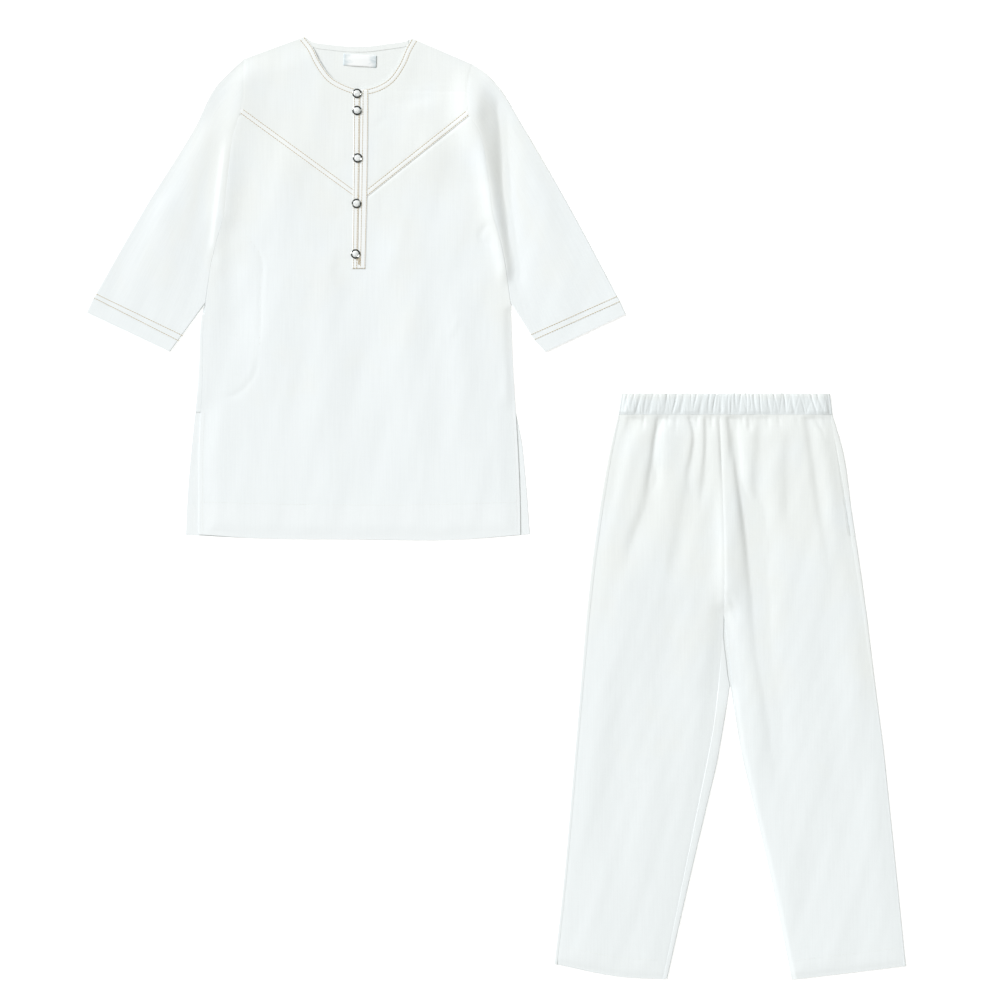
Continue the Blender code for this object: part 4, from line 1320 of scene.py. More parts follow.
    def sleeve_level(self, plan: Array) -> Array:
        """The sleeves' upper layer, with a groove at the armhole, low at the shoulder's tip."""
        low = 1 - soft_step(closest(plan, self.shoulders) / self.shoulder_reach)
        return FRONT_LEVEL - (FRONT_LEVEL - EDGE_LEVEL) * low + self.relief(plan)

    def tube(self, node: str, plan: Array, turn: float) -> None:
        """A tube pressed flat: its upper half follows the sleeves' level, its lower one is flat.

        Args:
            node: the solid that it stands for.
            plan: its rows and columns.
            turn: how many degrees it slants.
        """
        piece = Piece(f"{node}_cloth", node, self.cotton, Hold.LAID, ("floor",))
        plan = edged(plan, "tb")
        upper = plan[:, 1:-1]
        ring, across = pressed_ring(self.place, plan, upper, self.sleeve_level(upper), BACK_LEVEL)
        down = turned_grain(plan, turn)[:, :1, 1] + 0 * across
        piece.add(ring, np.stack([across, down], axis=-1))
        self.dress(piece)

    def build_sleeves(self) -> None:
        """Both sleeves and their cuffs, each a tube pressed flat."""
        for side, turn in (("left", 31.0), ("right", -31.0)):
            upper, lower = self.upper_armholes[side], self.lower_armholes[side]
            under = self.upper_sides[side]
            seam, edge = self.cuff_seam[side], self.cuff_edge[side]
            plan = patch(
                walk((upper, 26), (lower, 44)),
                smooth(seam, 70),
                smooth((upper[0], *self.outer[side], seam[0]), 136),
                walk((under, 92), ((under[-1], seam[1]), 44)),
            )
            self.tube(f"tunic_sleeve_{side}", plan, turn)
            ends = [smooth((seam[end], edge[end]), 9) for end in (0, 1)]
            self.tube(f"tunic_cuff_{side}", patch(smooth(seam, 70), smooth(edge, 70), *ends), turn)

    def strip_edges(self, steps: int) -> list[Array]:
        """The left strip's outer edge, the opening and the right strip's outer edge."""
        table = np.array(self.placket)
        return [smooth(np.column_stack([table[:, column], table[:, 0]]), steps) for column in (1, 2, 3)]

    def build_placket(self) -> None:
        """The two folded strips beside the opening."""
        left, opening, right = self.strip_edges(120)
        share, height = np.array(self.placket_section).T
        height = self.placket_loft * height
        inner = [moved(opening, way * self.placket_apart) for way in (-1, 1)]
        for side, low, high in (("left", left, inner[0]), ("right", inner[1], right)):
            plan = low[:, None] * (1 - share[None, :, None]) + high[:, None] * share[None, :, None]
            base = self.front_level(low)[:, None] + CLOTH / 2 + self.placket_rest
            wide = np.linalg.norm(high - low, axis=1).mean()
            round_it = np.concatenate([[0], np.cumsum(np.hypot(np.diff(share) * wide, np.diff(height)))])
            grain = np.stack(np.broadcast_arrays(round_it[None], low[:, 1:]), axis=-1)
            name, rests_on = f"placket_{side}", ("tunic_front_cloth",)
            piece = Piece(f"{name}_cloth", name, self.cotton, Hold.FOLDED, rests_on, self.placket_cloth)
            piece.add(self.place.places(plan, base + height[None]), grain, 0.6)
            self.dress(piece)

    def placket_top(self, plan: Array) -> Array:
        """The face of the folded strips."""
        return self.front_level(plan) + CLOTH / 2 + self.placket_face

    def build_neck_inside(self) -> None:
        """The facing along the back neck, and the blank label below it.

        The label is bowed up like a cosine across it, and its upper and lower edges lie lower.
        """
        rests_on = ("tunic_back_cloth",)
        upper = smooth((self.facing_ends[0], *self.back_scoop, self.facing_ends[1]), 66)
        lower = upper * (self.facing_taper, 1.0) + (0.0, self.facing_depth)
        share = np.linspace(0.0, 1.0, 6)[:, None, None]
        plan = edged((1 - share) * upper[None] + share * lower[None])
        piece = Piece("back_neck_facing_cloth", "back_neck_facing", self.cotton, Hold.LAID, rests_on, 0.25)
        piece.add(self.place.places(plan, self.facing_level), plan, 0.1)
        self.dress(piece)
        satin = SatinFinish()
        half, tall = self.label_half
        across, drop = np.meshgrid(np.linspace(-half, half, 34), np.linspace(-tall, tall, 14))
        flat = np.stack([across, drop], axis=-1)
        turned = turned_grain(flat, self.label_tilt) + self.label_middle
        turned[..., 1] += 0.6 * (across / half) ** 2 * np.sign(across)
        bow = 0.75 + 0.4 * np.cos(across / half * np.pi / 2) * soft_step((drop + tall) / 5.0)
        bow -= 0.3 * soft_step((drop - 4.6) / 1.4)
        piece = Piece("neck_label_cloth", "neck_label", satin, Hold.LAID, rests_on, 0.3)
        piece.add(self.place.places(turned, bow), flat)
        self.sewing.append((piece, piece.build(satin.material())))

    def dress(self, piece: Piece) -> None:
        """Builds a piece of the tunic's cotton and keeps it until its sewing is known."""
        self.sewing.append((piece, piece.build(self.material)))

    def sew(self) -> None:
        """Every row of stitches, each sewn on the face of the cloth below it."""
        rows = (self.stitch_edge, self.stitch_band)
        neck = [beside(run, -row) for run in self.neck_runs for row in rows]
        yoke = [beside(smooth(run[[0, -1]], 40), row) for run in self.yoke_seams for row in rows]
        cuffs = [smooth(ends, 30) for ends in self.cuff_rows]

        def on_yoke(plan: Array) -> Array:
            """The face of the yokes."""
            return self.yoke_level(plan) + CLOTH / 2

        def on_front(plan: Array) -> Array:
            """The face of the front."""
            return self.front_level(plan) + CLOTH / 2

        def on_sleeve(plan: Array) -> Array:
            """The face of the sleeves."""
            return FRONT_LEVEL + self.relief(plan) + CLOTH / 2

        def on_tack(plan: Array) -> Array:
            """The face of the placket's own stitches, where the bar tack lies across them."""
            return self.placket_top(plan) + 0.12

        left, opening, right = self.strip_edges(60)
        foot = np.array([left[-1] + (0.8, -0.8), right[-1] + (-0.8, -0.8)])
        strips = [moved(left, 1.0), moved(opening, -1.7), moved(opening[:-1], 2.4), moved(right, -0.9), foot]
        hems = [smooth(self.hem_row, 60)]
        for side, way in (("left", 1), ("right", -1)):
            hems.append(beside(smooth(self.front_slits[side], 40), way * self.slit_row))
        edge, tack = [moved(opening[:-3], -0.7)], [smooth(self.tack_line, 12)]
        bag = [smooth(self.bag_line, 40)]
        plans = (
            (Seam("neck_stitches", self.tan), neck, on_yoke, 0.0),
            (Seam("yoke_stitches", self.tan), yoke, on_yoke, 0.0),
            (Seam("cuff_stitches", self.tan), cuffs, on_sleeve, 0.0),
            (Seam("placket_stitches", self.tan, width=0.5, height=0.15), strips, self.placket_top, 0.0),
            (Seam("opening_edge_thread", self.tan, 1.5, 1.6, 0.55, 0.15), edge, self.placket_top, 0.0),
            (Seam("opening_bar_tack", self.tan, 0.95, 2.8, 0.6, 0.12), tack, on_tack, 90.0),
            (Seam("pocket_bag_tacks", self.white, 6.2, 1.5, 0.6, 0.15), bag, on_front, 0.0),
            (Seam("tunic_hem_stitches", self.white, **FINE_STITCH), hems, on_front, 0.0),
        )
        threads = {finish.name: finish.material() for finish in (self.tan, self.white)}
        sewn = [
            seam.sew(runs, top, self.place, threads[seam.finish.name], crosswise)
            for seam, runs, top, crosswise in plans
        ]
        for piece, made in self.sewing:
            piece.declare(made, sewn if piece.name == "tunic_front_cloth" else ())

    def build_snaps(self) -> None:
        """Five snaps: a turned ring and a domed cap, each a profile carried round a circle."""
        ring, cap = RingFinish(), PearlFinish()
        metal, pearl = ring.material(), cap.material()
        angle = np.linspace(0.0, 2 * np.pi, 64, endpoint=False)
        around = np.radians(np.arange(0.0, 360.0, 24.0))
        radius = self.ring_radius + self.ring_wide * np.cos(around)
        height = self.ring_high * (1 + np.sin(around))
        rise = np.linspace(0.0, np.pi / 2, 9)
        dome_radius = self.cap_radius * np.sin(rise)
        dome_height = self.cap_base + self.cap_rise * np.cos(rise)
        for number, spot in enumerate(self.snaps, start=1):
            base = float(self.placket_top(np.array(spot)))
            circle = np.stack([np.cos(angle), -np.sin(angle)], axis=-1)
            plan = np.array(spot) + circle[:, None] * radius[None, :, None]
            points = self.place.places(plan, base + height[None] + 0 * plan[..., 0])
            rows, columns = plan.shape[:2]
            index = np.arange(rows * columns).reshape(rows, columns)
            beyond, above = np.roll(index, -1, axis=0), np.roll(index, -1, axis=1)
            both = np.roll(beyond, -1, axis=1)
            quads = np.stack([index, above, both, beyond], axis=-1).reshape(-1, 4)
            made = mesh_object(f"snap_ring_{number}_metal", points.reshape(-1, 3), quads)
            # painted highlights: a share set round the listed angles, which turns the ring's colour
            # near-white
            glint_share = np.zeros(len(angle))
            for turn, wide in zip(np.radians(self.painted_glint[number - 1]), self.painted_glint_reach):
                apart = np.abs(np.angle(np.exp(1j * (angle - turn))))
                glint_share = np.maximum(glint_share, soft_step((wide + 0.12 - apart) / 0.24))
            share = made.data.attributes.new("painted_glint", "FLOAT", "POINT")
            share.data.foreach_set("value", np.repeat(glint_share, len(around)).astype(np.float32))
            self.fit_snap(made, f"snap_ring_{number}", metal)
            plan = np.array(spot) + circle[:, None] * np.append(dome_radius[1:], self.cap_foot)[None, :, None]
            tall = base + np.append(dome_height[1:], 0.0)
            points = self.place.places(plan, tall[None] + 0 * plan[..., 0]).reshape(-1, 3)
            pole = self.place.places(np.array([spot, spot]), base + np.array([dome_height[0], 0.0]))
            rows, columns = plan.shape[:2]
            index = np.arange(rows * columns).reshape(rows, columns)
            beyond = np.roll(index, -1, axis=0)
            corners = (index[:, :-1], index[:, 1:], beyond[:, 1:], beyond[:, :-1])
            quads = np.stack(corners, axis=-1).reshape(-1, 4)
            top, under = rows * columns, rows * columns + 1
            fans = [
                np.column_stack([np.full(rows, top), index[:, 0], beyond[:, 0]]),
                np.column_stack([np.full(rows, under), beyond[:, -1], index[:, -1]]),
            ]
            faces = np.concatenate([quads[:, [0, 1, 2]], quads[:, [0, 2, 3]], *fans])
            made = mesh_object(f"snap_pearl_{number}_cap", np.concatenate([points, pole]), faces[:, ::-1])
            self.fit_snap(made, f"snap_pearl_{number}", pearl)

    def fit_snap(self, made: Object, node: str, material: Material) -> None:
        """Hangs a snap's part on the frame.

        Args:
            made: the part.
            node: the solid that it stands for.
            material: its finish.
        """
        made.data.materials.append(material)
        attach(made, "root")
        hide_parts(node)
        LOG.info("%s stands for %s", made.name, node)

    def build(self) -> None:
        """Makes every piece of the tunic, and sews it."""
        self.material = self.cotton.material()
        self.build_back()
        self.build_yokes()
        self.build_front()
        self.build_sleeves()
        self.build_placket()
        self.build_neck_inside()
        self.sew()
        self.build_snaps()


@dataclass
class Trousers:
    """The trousers: outlines as across and drop, folds below the gathers, and the waistband."""

    cotton: ClothFinish
    band_cotton: ClothFinish
    white: ThreadFinish
    place: Placement = Placement(229.5, 114.5)
    waist: float = 21.0
    band_top: Rows = ((-104.5, 0.0), (104.5, 0.0))
    band_foot: Rows = ((-107.7, 21.0), (107.0, 21.0))
    crotch: Point = (-1.7, 221.5)
    back_crotch: Point = (4.4, 292.0)
    left_hem: Point = (-103.5, 583.5)
    right_hem: Point = (123.9, 579.5)
    out_steps: tuple[int, ...] = (56, 60, 74, 110)
    centre_steps: int = 116
    in_steps: tuple[int, ...] = (38, 40, 106)
    columns: int = 74
    folds: tuple[Crease, ...] = (
        Crease(
            ((-90.7, 21.0), (-102.0, 40.0), (-109.0, 55.0), (-115.0, 81.0), (-128.0, 146.0)),
            7.5, -1.5, 0.3, 0.02,
        ),
        Crease(
            ((-66.0, 21.0), (-70.5, 41.0), (-73.0, 61.0), (-75.5, 84.0), (-82.0, 112.0)),
            6.5, -1.1, 0.35, 0.02,
        ),
        Crease(((-67.0, 21.0), (-71.5, 41.0), (-74.0, 61.0), (-76.5, 84.0)), 2.6, -0.75, 0.6, 0.02, 0.5),
        Crease(((-71.0, 61.0), (-78.0, 107.0), (-93.0, 147.0), (-102.0, 190.0)), 9.0, -1.2, 0.35, 0.2, 0.4),
        Crease(((-60.0, 24.0), (-61.0, 70.0), (-66.0, 130.0)), 7.0, 0.3, 0.3, 0.1, 0.5),
        Crease(
            ((-37.0, 21.0), (-32.0, 38.0), (-33.5, 61.0), (-38.0, 82.0), (-33.5, 112.0)),
            5.0, -0.8, 0.35, 0.02,
        ),
        Crease(((-38.6, 21.0), (-33.6, 38.0), (-35.2, 61.0), (-39.6, 82.0)), 2.2, -0.45, 0.6, 0.02, 0.5),
        Crease(((-35.0, 82.0), (-45.0, 130.0), (-59.0, 200.0)), 9.0, -0.7, 0.3, 0.2, 0.4),
        Crease(((-19.7, 21.0), (-19.7, 55.0), (-23.0, 89.0), (-27.7, 124.0)), 4.6, -0.75, 0.35, 0.02),
        Crease(((-21.5, 21.0), (-21.5, 55.0), (-24.6, 85.0)), 2.0, -0.4, 0.6, 0.02, 0.5),
        Crease(((-8.5, 21.0), (-6.5, 45.0), (-4.8, 93.0)), 2.2, -0.5, 0.4, 0.02),
        Crease(((1.4, 21.0), (3.7, 47.0), (5.0, 70.0)), 2.4, -0.7, 0.4, 0.02),
        Crease(
            ((6.5, 21.0), (10.2, 63.0), (15.0, 101.0), (21.0, 139.0), (27.0, 216.0)),
            6.0, -1.5, 0.2, 0.02, 0.5,
        ),
        Crease(((4.9, 21.0), (8.5, 63.0), (12.7, 101.0), (18.0, 139.0)), 2.6, -0.7, 0.6, 0.02, 0.5),
        Crease(
            ((16.0, 75.0), (24.0, 139.0), (30.5, 216.0), (42.0, 318.0), (71.0, 455.0)),
            12.0, -1.7, 0.4, 0.12, 0.7,
        ),
        Crease(((-2.0, 60.0), (-1.0, 120.0), (2.0, 190.0), (12.0, 290.0)), 14.0, 1.7, 0.4, 0.3, 0.5),
        Crease(((13.0, 85.0), (21.0, 142.0), (27.5, 210.0)), 3.6, -0.4, 0.6, 0.2, 0.4),
        Crease(((22.0, 21.0), (23.0, 40.0)), 2.4, -0.7, 0.4, 0.02),
        Crease(
            ((33.5, 21.0), (33.5, 55.0), (29.5, 86.0), (35.0, 116.0), (55.0, 190.0)),
            7.5, -0.9, 0.3, 0.02, 0.6,
        ),
        Crease(((50.0, 40.0), (48.0, 90.0), (56.0, 150.0)), 9.0, 0.4, 0.0, 0.3, 0.5),
        Crease(((62.0, 30.0), (61.0, 90.0), (64.0, 150.0)), 7.0, -0.5, 0.3),
        Crease(
            ((80.5, 21.0), (86.5, 63.0), (93.0, 109.0), (103.5, 177.0), (105.0, 200.0)),
            6.5, -1.0, 0.35, 0.02, 0.6,
        ),
        Crease(((86.0, 21.0), (94.0, 34.0), (100.0, 48.0)), 2.8, -0.8, 0.4, 0.02),
        Crease(((-46.0, 190.0), (-60.0, 300.0), (-66.0, 420.0)), 14.0, -0.5),
        Crease(((-100.0, 260.0), (-112.0, 380.0), (-120.0, 500.0)), 14.0, -0.4),
        Crease(((100.0, 240.0), (112.0, 360.0), (122.0, 500.0)), 15.0, -0.4),
        Crease(((-1.0, 196.0), (6.0, 212.0), (11.0, 236.0)), 3.0, -0.4, 0.4),
    )
    pocket_line: Rows = ((111.0, 42.5), (116.4, 78.3), (120.8, 109.0), (125.4, 142.5))
    pocket_depth: float = 0.55
    pocket_reach: float = 1.3
    pocket_row: float = -1.4
    pocket_rows_apart: float = -1.8
    pocket_bar: Rows = ((124.4, 142.5), (126.5, 143.5), (129.0, 142.0))
    loft_low: float = 0.5
    loft_high: float = 1.9
    loft_reach: float = 120.0
    shut_reach: float = 10.0
    flank: float = 1.0
    groove: float = 0.15
    centre_groove: float = 0.3
    inner_fall: float = 0.9
    inner_start: float = 282.0
    crotch_fall: float = 0.85
    crotch_reach: float = 34.0
    hem_fall: float = 0.45
    hem_reach: float = 7.0
    hem_row: float = 19.0
    band_steps: tuple[int, ...] = (430, 18)
    scallop: float = 0.32
    band_puff: float = 1.7
    facet_share: float = 0.6
    crease_share: float = 0.42
    crinkle_share: float = 0.24
    # Small crinkles of the waistband. Columns: pace across, tilt, start.
    crinkles: Table = ((3.1, 1.6, 0.4), (4.7, -2.1, 1.9), (2.3, 0.9, 3.0))
    band_show: float = 0.16
    gathers: Table = (
        (-97.0, 14.0, 1.0), (-82.0, 20.0, 0.9), (-58.0, 16.0, 0.6), (-50.0, 24.0, 0.5), (-29.0, 18.0, 0.8),
        (-14.5, 20.0, 0.9), (15.5, 16.0, 0.8), (27.0, 14.0, 0.6), (41.0, 20.0, 0.6), (52.0, 18.0, 0.7),
        (70.0, 16.0, 0.6), (97.5, 20.0, 0.8), (103.0, 12.0, 0.5),
    )
    # Creases of the waistband. Columns: across at the top and at the foot, half width, depth.
    band_creases: Table = (
        (-97.5, -102.5, 1.7, 1.4), (-91.5, -94.5, 1.3, 1.0), (-84.5, -89.0, 1.8, 1.7),
        (-79.0, -81.0, 1.2, 0.9), (-71.0, -77.5, 1.9, 1.8), (-66.0, -68.5, 1.3, 1.1),
        (-57.5, -62.5, 2.0, 1.6), (-49.5, -53.0, 1.6, 1.3), (-41.0, -45.0, 2.0, 1.9),
        (-33.5, -34.5, 1.4, 1.1), (-29.0, -32.0, 1.2, 1.2), (-22.0, -25.5, 1.8, 1.7),
        (-15.0, -18.0, 1.5, 1.2), (-10.5, -12.0, 1.2, 1.3), (-2.5, -5.0, 1.8, 1.7), (3.5, 2.0, 1.3, 1.0),
        (10.0, 11.5, 1.5, 1.5), (15.0, 14.0, 1.2, 1.2), (20.0, 22.0, 1.4, 1.6), (24.5, 25.0, 1.1, 1.0),
        (28.5, 31.0, 1.5, 1.5), (33.0, 36.5, 1.4, 1.3), (42.0, 44.5, 1.8, 1.0), (49.0, 52.0, 1.8, 1.7),
        (57.5, 61.0, 1.8, 1.5), (65.5, 70.0, 2.0, 1.7), (74.5, 79.0, 1.6, 1.5), (79.0, 82.0, 1.2, 1.0),
        (86.0, 91.0, 1.8, 1.6), (92.0, 98.5, 1.6, 1.4), (99.5, 103.5, 1.4, 1.2),
    )
    sewing: list[tuple[Piece, Object]] = field(default_factory=list)

    def __post_init__(self) -> None:
        """Works out the seams and folds that several pieces share."""
        top = self.waist + 0.04
        self.centre = ((-6.0, top), (-3.2, 93.5), (-1.2, 190.0), self.crotch)
        self.crotch_fold = (self.crotch, (-1.6, 247.0), (0.9, 268.0), (2.6, 283.0), self.back_crotch)
        self.out_folds = {
            "left": (
                ((-107.9, top), (-117.0, 61.0), (-127.0, 118.5)),
                ((-127.0, 118.5), (-134.0, 170.0), (-139.6, 222.0)),
                ((-139.6, 222.0), (-144.5, 281.0), (-150.7, 355.5)),
                ((-150.7, 355.5), (-165.5, 517.5), (-171.8, 570.5)),
            ),
            "right": (
                ((107.0, top), (117.0, 55.4), (126.4, 118.5)),
                ((126.4, 118.5), (135.3, 177.5), (141.5, 222.0)),
                ((141.5, 222.0), (149.4, 287.0), (158.3, 355.5)),
                ((158.3, 355.5), (169.9, 467.5), (180.5, 572.3)),
            ),
        }
        self.out_seams = {
            "left": (
                ((-105.4, top), (-113.6, 61.0), (-123.0, 118.5)),
                ((-123.0, 118.5), (-130.0, 170.0), (-135.8, 222.0)),
                ((-135.8, 222.0), (-141.0, 281.0), (-147.4, 355.5)),
                ((-147.4, 355.5), (-162.3, 517.5), (-168.4, 571.0)),
            ),
            "right": (
                ((104.4, top), (111.4, 55.4), (121.6, 118.5)),
                ((121.6, 118.5), (130.7, 177.5), (137.3, 222.0)),
                ((137.3, 222.0), (146.6, 287.0), (156.0, 355.5)),
                ((156.0, 355.5), (167.8, 467.5), (178.2, 572.7)),
            ),
        }
        self.in_fold = (
            (self.back_crotch, (-1.5, 330.0), (-8.5, 370.0)),
            ((-8.5, 370.0), (-36.2, 487.5), (-58.2, 584.8)),
        )
        self.in_seam = (
            ((-1.7, 221.5), (-4.0, 256.0), (-7.2, 292.0)),
            ((-7.2, 292.0), (-12.2, 333.0), (-19.0, 370.0)),
            ((-19.0, 370.0), (-45.6, 502.0), (-62.4, 585.6)),
        )
        self.in_edge = (
            (self.crotch, (2.0, 246.5), (7.2, 290.5)),
            ((7.2, 290.5), (11.9, 338.0), (17.8, 370.0)),
            ((17.8, 370.0), (44.3, 480.0), (66.2, 586.2)),
        )
        self.out_left = walk(*zip(self.out_seams["left"], self.out_steps))
        self.out_right = walk(*zip(self.out_seams["right"], self.out_steps))
        self.in_left = walk(*zip(self.in_seam, self.in_steps))
        self.in_right = walk(*zip(self.in_edge, self.in_steps))
        self.centre_run = smooth(self.centre, self.centre_steps)
        self.hems = [
            np.array([self.out_left[-1], self.left_hem, self.in_left[-1]]),
            np.array([self.in_right[-1], self.right_hem, self.out_right[-1]]),
        ]
        self.shut = [self.out_left[::30], self.out_right[::30], self.in_left[::23], self.in_right[::23]]
        self.seams = [self.out_left[::30], self.out_right[::30], self.in_left[::23]]
        self.short_gathers = tuple(
            Crease(
                ((across, self.waist), (across * 1.03, self.waist + length)),
                1.5,
                -depth * 0.8,
                0.0,
                0.02,
                0.9,
            )
            for across, length, depth in self.gathers
        )
        self.ripple = Ripple(0.14, (73.0, 47.0, 31.0, 17.0), 9)

    def relief(self, plan: Array) -> Array:
        """Height of the gathered fronts over their resting level.

        The loft falls off from the waist with an exponential, and the folds and the ends of the
        gathers are taken from it, each a little right of its line, so that its shaded flank lies on
        the line. It dies away towards the closed edges.

        Args:
            plan: places in the plan.

        Returns:
            One height for each place.
        """
        below = np.maximum(plan[..., 1] - self.waist, 0.0)
        near_waist = 0.45 + 0.55 * soft_step(below / 25.0)
        loft = self.loft_low + self.loft_high * np.exp(-below / self.loft_reach) * near_waist
        beside_line = plan - (self.flank, 0.0)
        uneven = added(beside_line, (*self.folds, *self.short_gathers)) + self.ripple.at(plan)
        held = 1 - np.exp(-((closest(plan, self.shut + self.hems) / self.shut_reach) ** 2))
        return np.maximum(loft + uneven, 0.0) * held

    def seam_level(self, across: Array) -> Array:
        """Height of the waist seam, which comes down to a flat fold at both sides."""
        return FRONT_LEVEL + 1.3 * (1 - np.exp(-(((107.5 - np.abs(across)) / 9.0) ** 2)))

    def crotch_drop(self, plan: Array) -> Array:
        """How far the upper cloth comes down beside the crotch."""
        return self.crotch_fall * (1 - soft_step(closest(plan, [self.in_left[:39:19]]) / self.crotch_reach))

    def front_level(self, plan: Array) -> Array:
        """Middle of the fronts' cloth, with grooves at the seams and a dip under the waistband.

        Args:
            plan: places in the plan.

        Returns:
            One height for each place.
        """
        level = FRONT_LEVEL + self.relief(plan)
        level -= self.groove * np.exp(-((closest(plan, self.seams) / 1.2) ** 2))
        level -= self.centre_groove * np.exp(-((closest(plan, [self.centre_run[::8]]) / 1.1) ** 2))
        lower = soft_step((plan[..., 1] - self.inner_start) / 20.0)
        level -= self.inner_fall * lower * (1 - soft_step(closest(plan, [self.in_right[::23]]) / 5.0))
        level -= self.crotch_drop(plan)
        level -= self.hem_fall * (1 - soft_step(closest(plan, self.hems) / self.hem_reach))
        pocket = closest(plan, [smooth(self.pocket_line, 4)])
        level -= self.pocket_depth * np.exp(-((pocket / self.pocket_reach) ** 2))
        seam = 0.88 * (1 - soft_step((plan[..., 1] - self.waist) / 5.0))
        return level - seam * (level - self.seam_level(plan[..., 0]))

    def hem_share(self, plan: Array) -> Array:
        """1 in the turned hems."""
        return soft_step((self.hem_row - closest(plan, self.hems)) / 1.5)

    def dress(self, piece: Piece, material: Material) -> None:
        """Builds a piece and keeps it until its sewing is known."""
        self.sewing.append((piece, piece.build(material)))

    def build_fronts(self, material: Material) -> None:
        """The two gathered leg fronts, which meet at the centre seam.

        Args:
            material: the cotton.
        """
        plans = {
            "left": patch(
                smooth((self.out_left[0], self.centre_run[0]), self.columns),
                smooth(self.hems[0], self.columns),
                self.out_left,
                np.concatenate([self.centre_run, self.in_left[1:]]),
            ),
            "right": patch(
                smooth((self.centre_run[0], self.out_right[0]), self.columns),
                smooth(self.hems[1], self.columns),
                np.concatenate([self.centre_run, self.in_right[1:]]),
                self.out_right,
            ),
        }
        for side, plan in plans.items():
            plan = edged(plan)
            name, back = f"trouser_front_{side}", f"trouser_back_{side}_cloth"
            piece = Piece(f"{name}_cloth", name, self.cotton, Hold.GATHERED, (back,))
            piece.add(self.place.places(plan, self.front_level(plan)), plan, 0.1 * self.hem_share(plan))
            self.dress(piece, material)

    def turn(self, piece: Piece, plan: Array, rows: slice, column: int, end: Array) -> None:
        """Folds one side edge of a back up onto the front, and moves the flat part's edge in.

        Args:
            piece: the back, which gets the folded part.
            plan: the back's rows and columns, whose edge is moved.
            rows: the rows that are folded.
            column: the side edge, 0 for the left one or -1 for the right one.
            end: where the folded part ends on the front.
        """
        rim = plan[rows, column].copy()
        inward = unit(plan[rows, 1 if column == 0 else -2] - rim)
        upper = FRONT_LEVEL - 0.1 - self.crotch_drop(end)
        plan[rows, column] = rim + inward * fold_inset(rim, end, FRONT_LEVEL)
        columns = turned_up(rim, inward, end, upper)
        places = edged(np.stack([self.place.places(spot, height) for spot, height in columns], axis=1), "tb")
        grain = edged(np.stack([spot for spot, _ in columns], axis=1), "tb")
        way = slice(None, None, -1) if column == 0 else slice(None)
        piece.add(places[:, way], grain[:, way])

    def build_backs(self, material: Material) -> None:
        """The two leg backs, whose edges fold up round the outside and the left inner leg.

        Args:
            material: the cotton.
        """
        fold_left = walk(*zip(self.out_folds["left"], self.out_steps))
        fold_right = walk(*zip(self.out_folds["right"], self.out_steps))
        crotch = smooth(self.crotch_fold, self.in_steps[0])
        fold_in = walk(*zip(self.in_fold, self.in_steps[1:]))
        columns = self.columns // 2
        left = patch(
            smooth((fold_left[0], self.centre_run[0]), columns),
            smooth((fold_left[-1], self.left_hem, fold_in[-1]), columns),
            fold_left,
            np.concatenate([self.centre_run, crotch[1:], fold_in[1:]]),
        )
        thigh = (crotch[-1], *self.in_edge[1][1:])
        inner = walk((thigh, self.in_steps[1]), (self.in_edge[2], self.in_steps[2]))
        right = patch(
            smooth((self.centre_run[0], fold_right[0]), columns),
            smooth((inner[-1], self.right_hem, fold_right[-1]), columns),
            np.concatenate([self.centre_run, crotch[1:], inner[1:]]),
            fold_right,
        )
        inner_rows = slice(self.centre_steps + 1, None)
        turns = {
            "left": (left, ((slice(None), 0, self.out_left), (inner_rows, -1, self.in_left[1:]))),
            "right": (right, ((slice(None), -1, self.out_right),)),
        }
        for side, (plan, edges) in turns.items():
            name = f"trouser_back_{side}"
            piece = Piece(f"{name}_cloth", name, self.cotton, Hold.LAID, ("floor",))
            for rows, column, end in edges:
                self.turn(piece, plan, rows, column, end)
            plan = edged(plan)
            piece.add(self.place.places(plan, BACK_LEVEL), plan)
            self.dress(piece, material)

    def band_level(self, plan: Array) -> Array:
        """Middle of the waistband's upper half: puffs between sharp slanting creases.

        The depth of each crease is a bell curve of the distance across from its slanting line,
        and the band comes down to a flat fold at both ends and to the seam at its foot.

        Args:
            plan: places in the plan.

        Returns:
            One height for each place.
        """
        across, drop = plan[..., 0], plan[..., 1]
        share = np.clip(drop / self.waist, 0.0, 1.0)
        depth = np.zeros(across.shape)
        for top, foot, half_width, deep in self.band_creases:
            line = top + (foot - top) * share + 0.8 * np.sin(3.1 * share + top)
            along = 0.62 + 0.38 * np.cos(1.3 * top + np.pi * share)
            wide = half_width * (0.45 + 0.5 * share * (1 - np.cos(top)) / 2 + 0.25 * np.cos(top) ** 2)
            depth = np.maximum(depth, deep * along * np.exp(-(((across - line) / wide) ** 2)))
        facet = 0.35 * np.sin(across / 5.3 + 2.0 * share + 1.5 * np.sin(across / 11.0))
        slant = np.tanh(across / 30.0)
        crinkle = np.zeros(across.shape)
        for pace, tilt, start in self.crinkles:
            phase = across / pace + tilt * share * slant + start + 0.9 * np.sin(across / (2.9 * pace))
            crinkle += (1 - np.abs(np.sin(phase))) ** 4 * (0.5 + 0.5 * np.cos(1.7 * phase + 2.5 * share))
        puff = self.band_puff + 0.3 * np.sin(np.pi * share) + self.facet_share * facet
        puff = puff - self.crease_share * depth - self.crinkle_share * crinkle
        ends = [np.array(end) for end in zip(self.band_top, self.band_foot)]
        held = 1 - np.exp(-((closest(plan, ends) / 4.0) ** 2))
        level = FRONT_LEVEL + puff * held
        seam = soft_step((drop - self.waist + 3.2) / 3.2)
        top_edge = 0.4 * (1 - soft_step(drop / 3.0)) * held
        return level + seam * (self.seam_level(across) - level) * 0.92 - top_edge

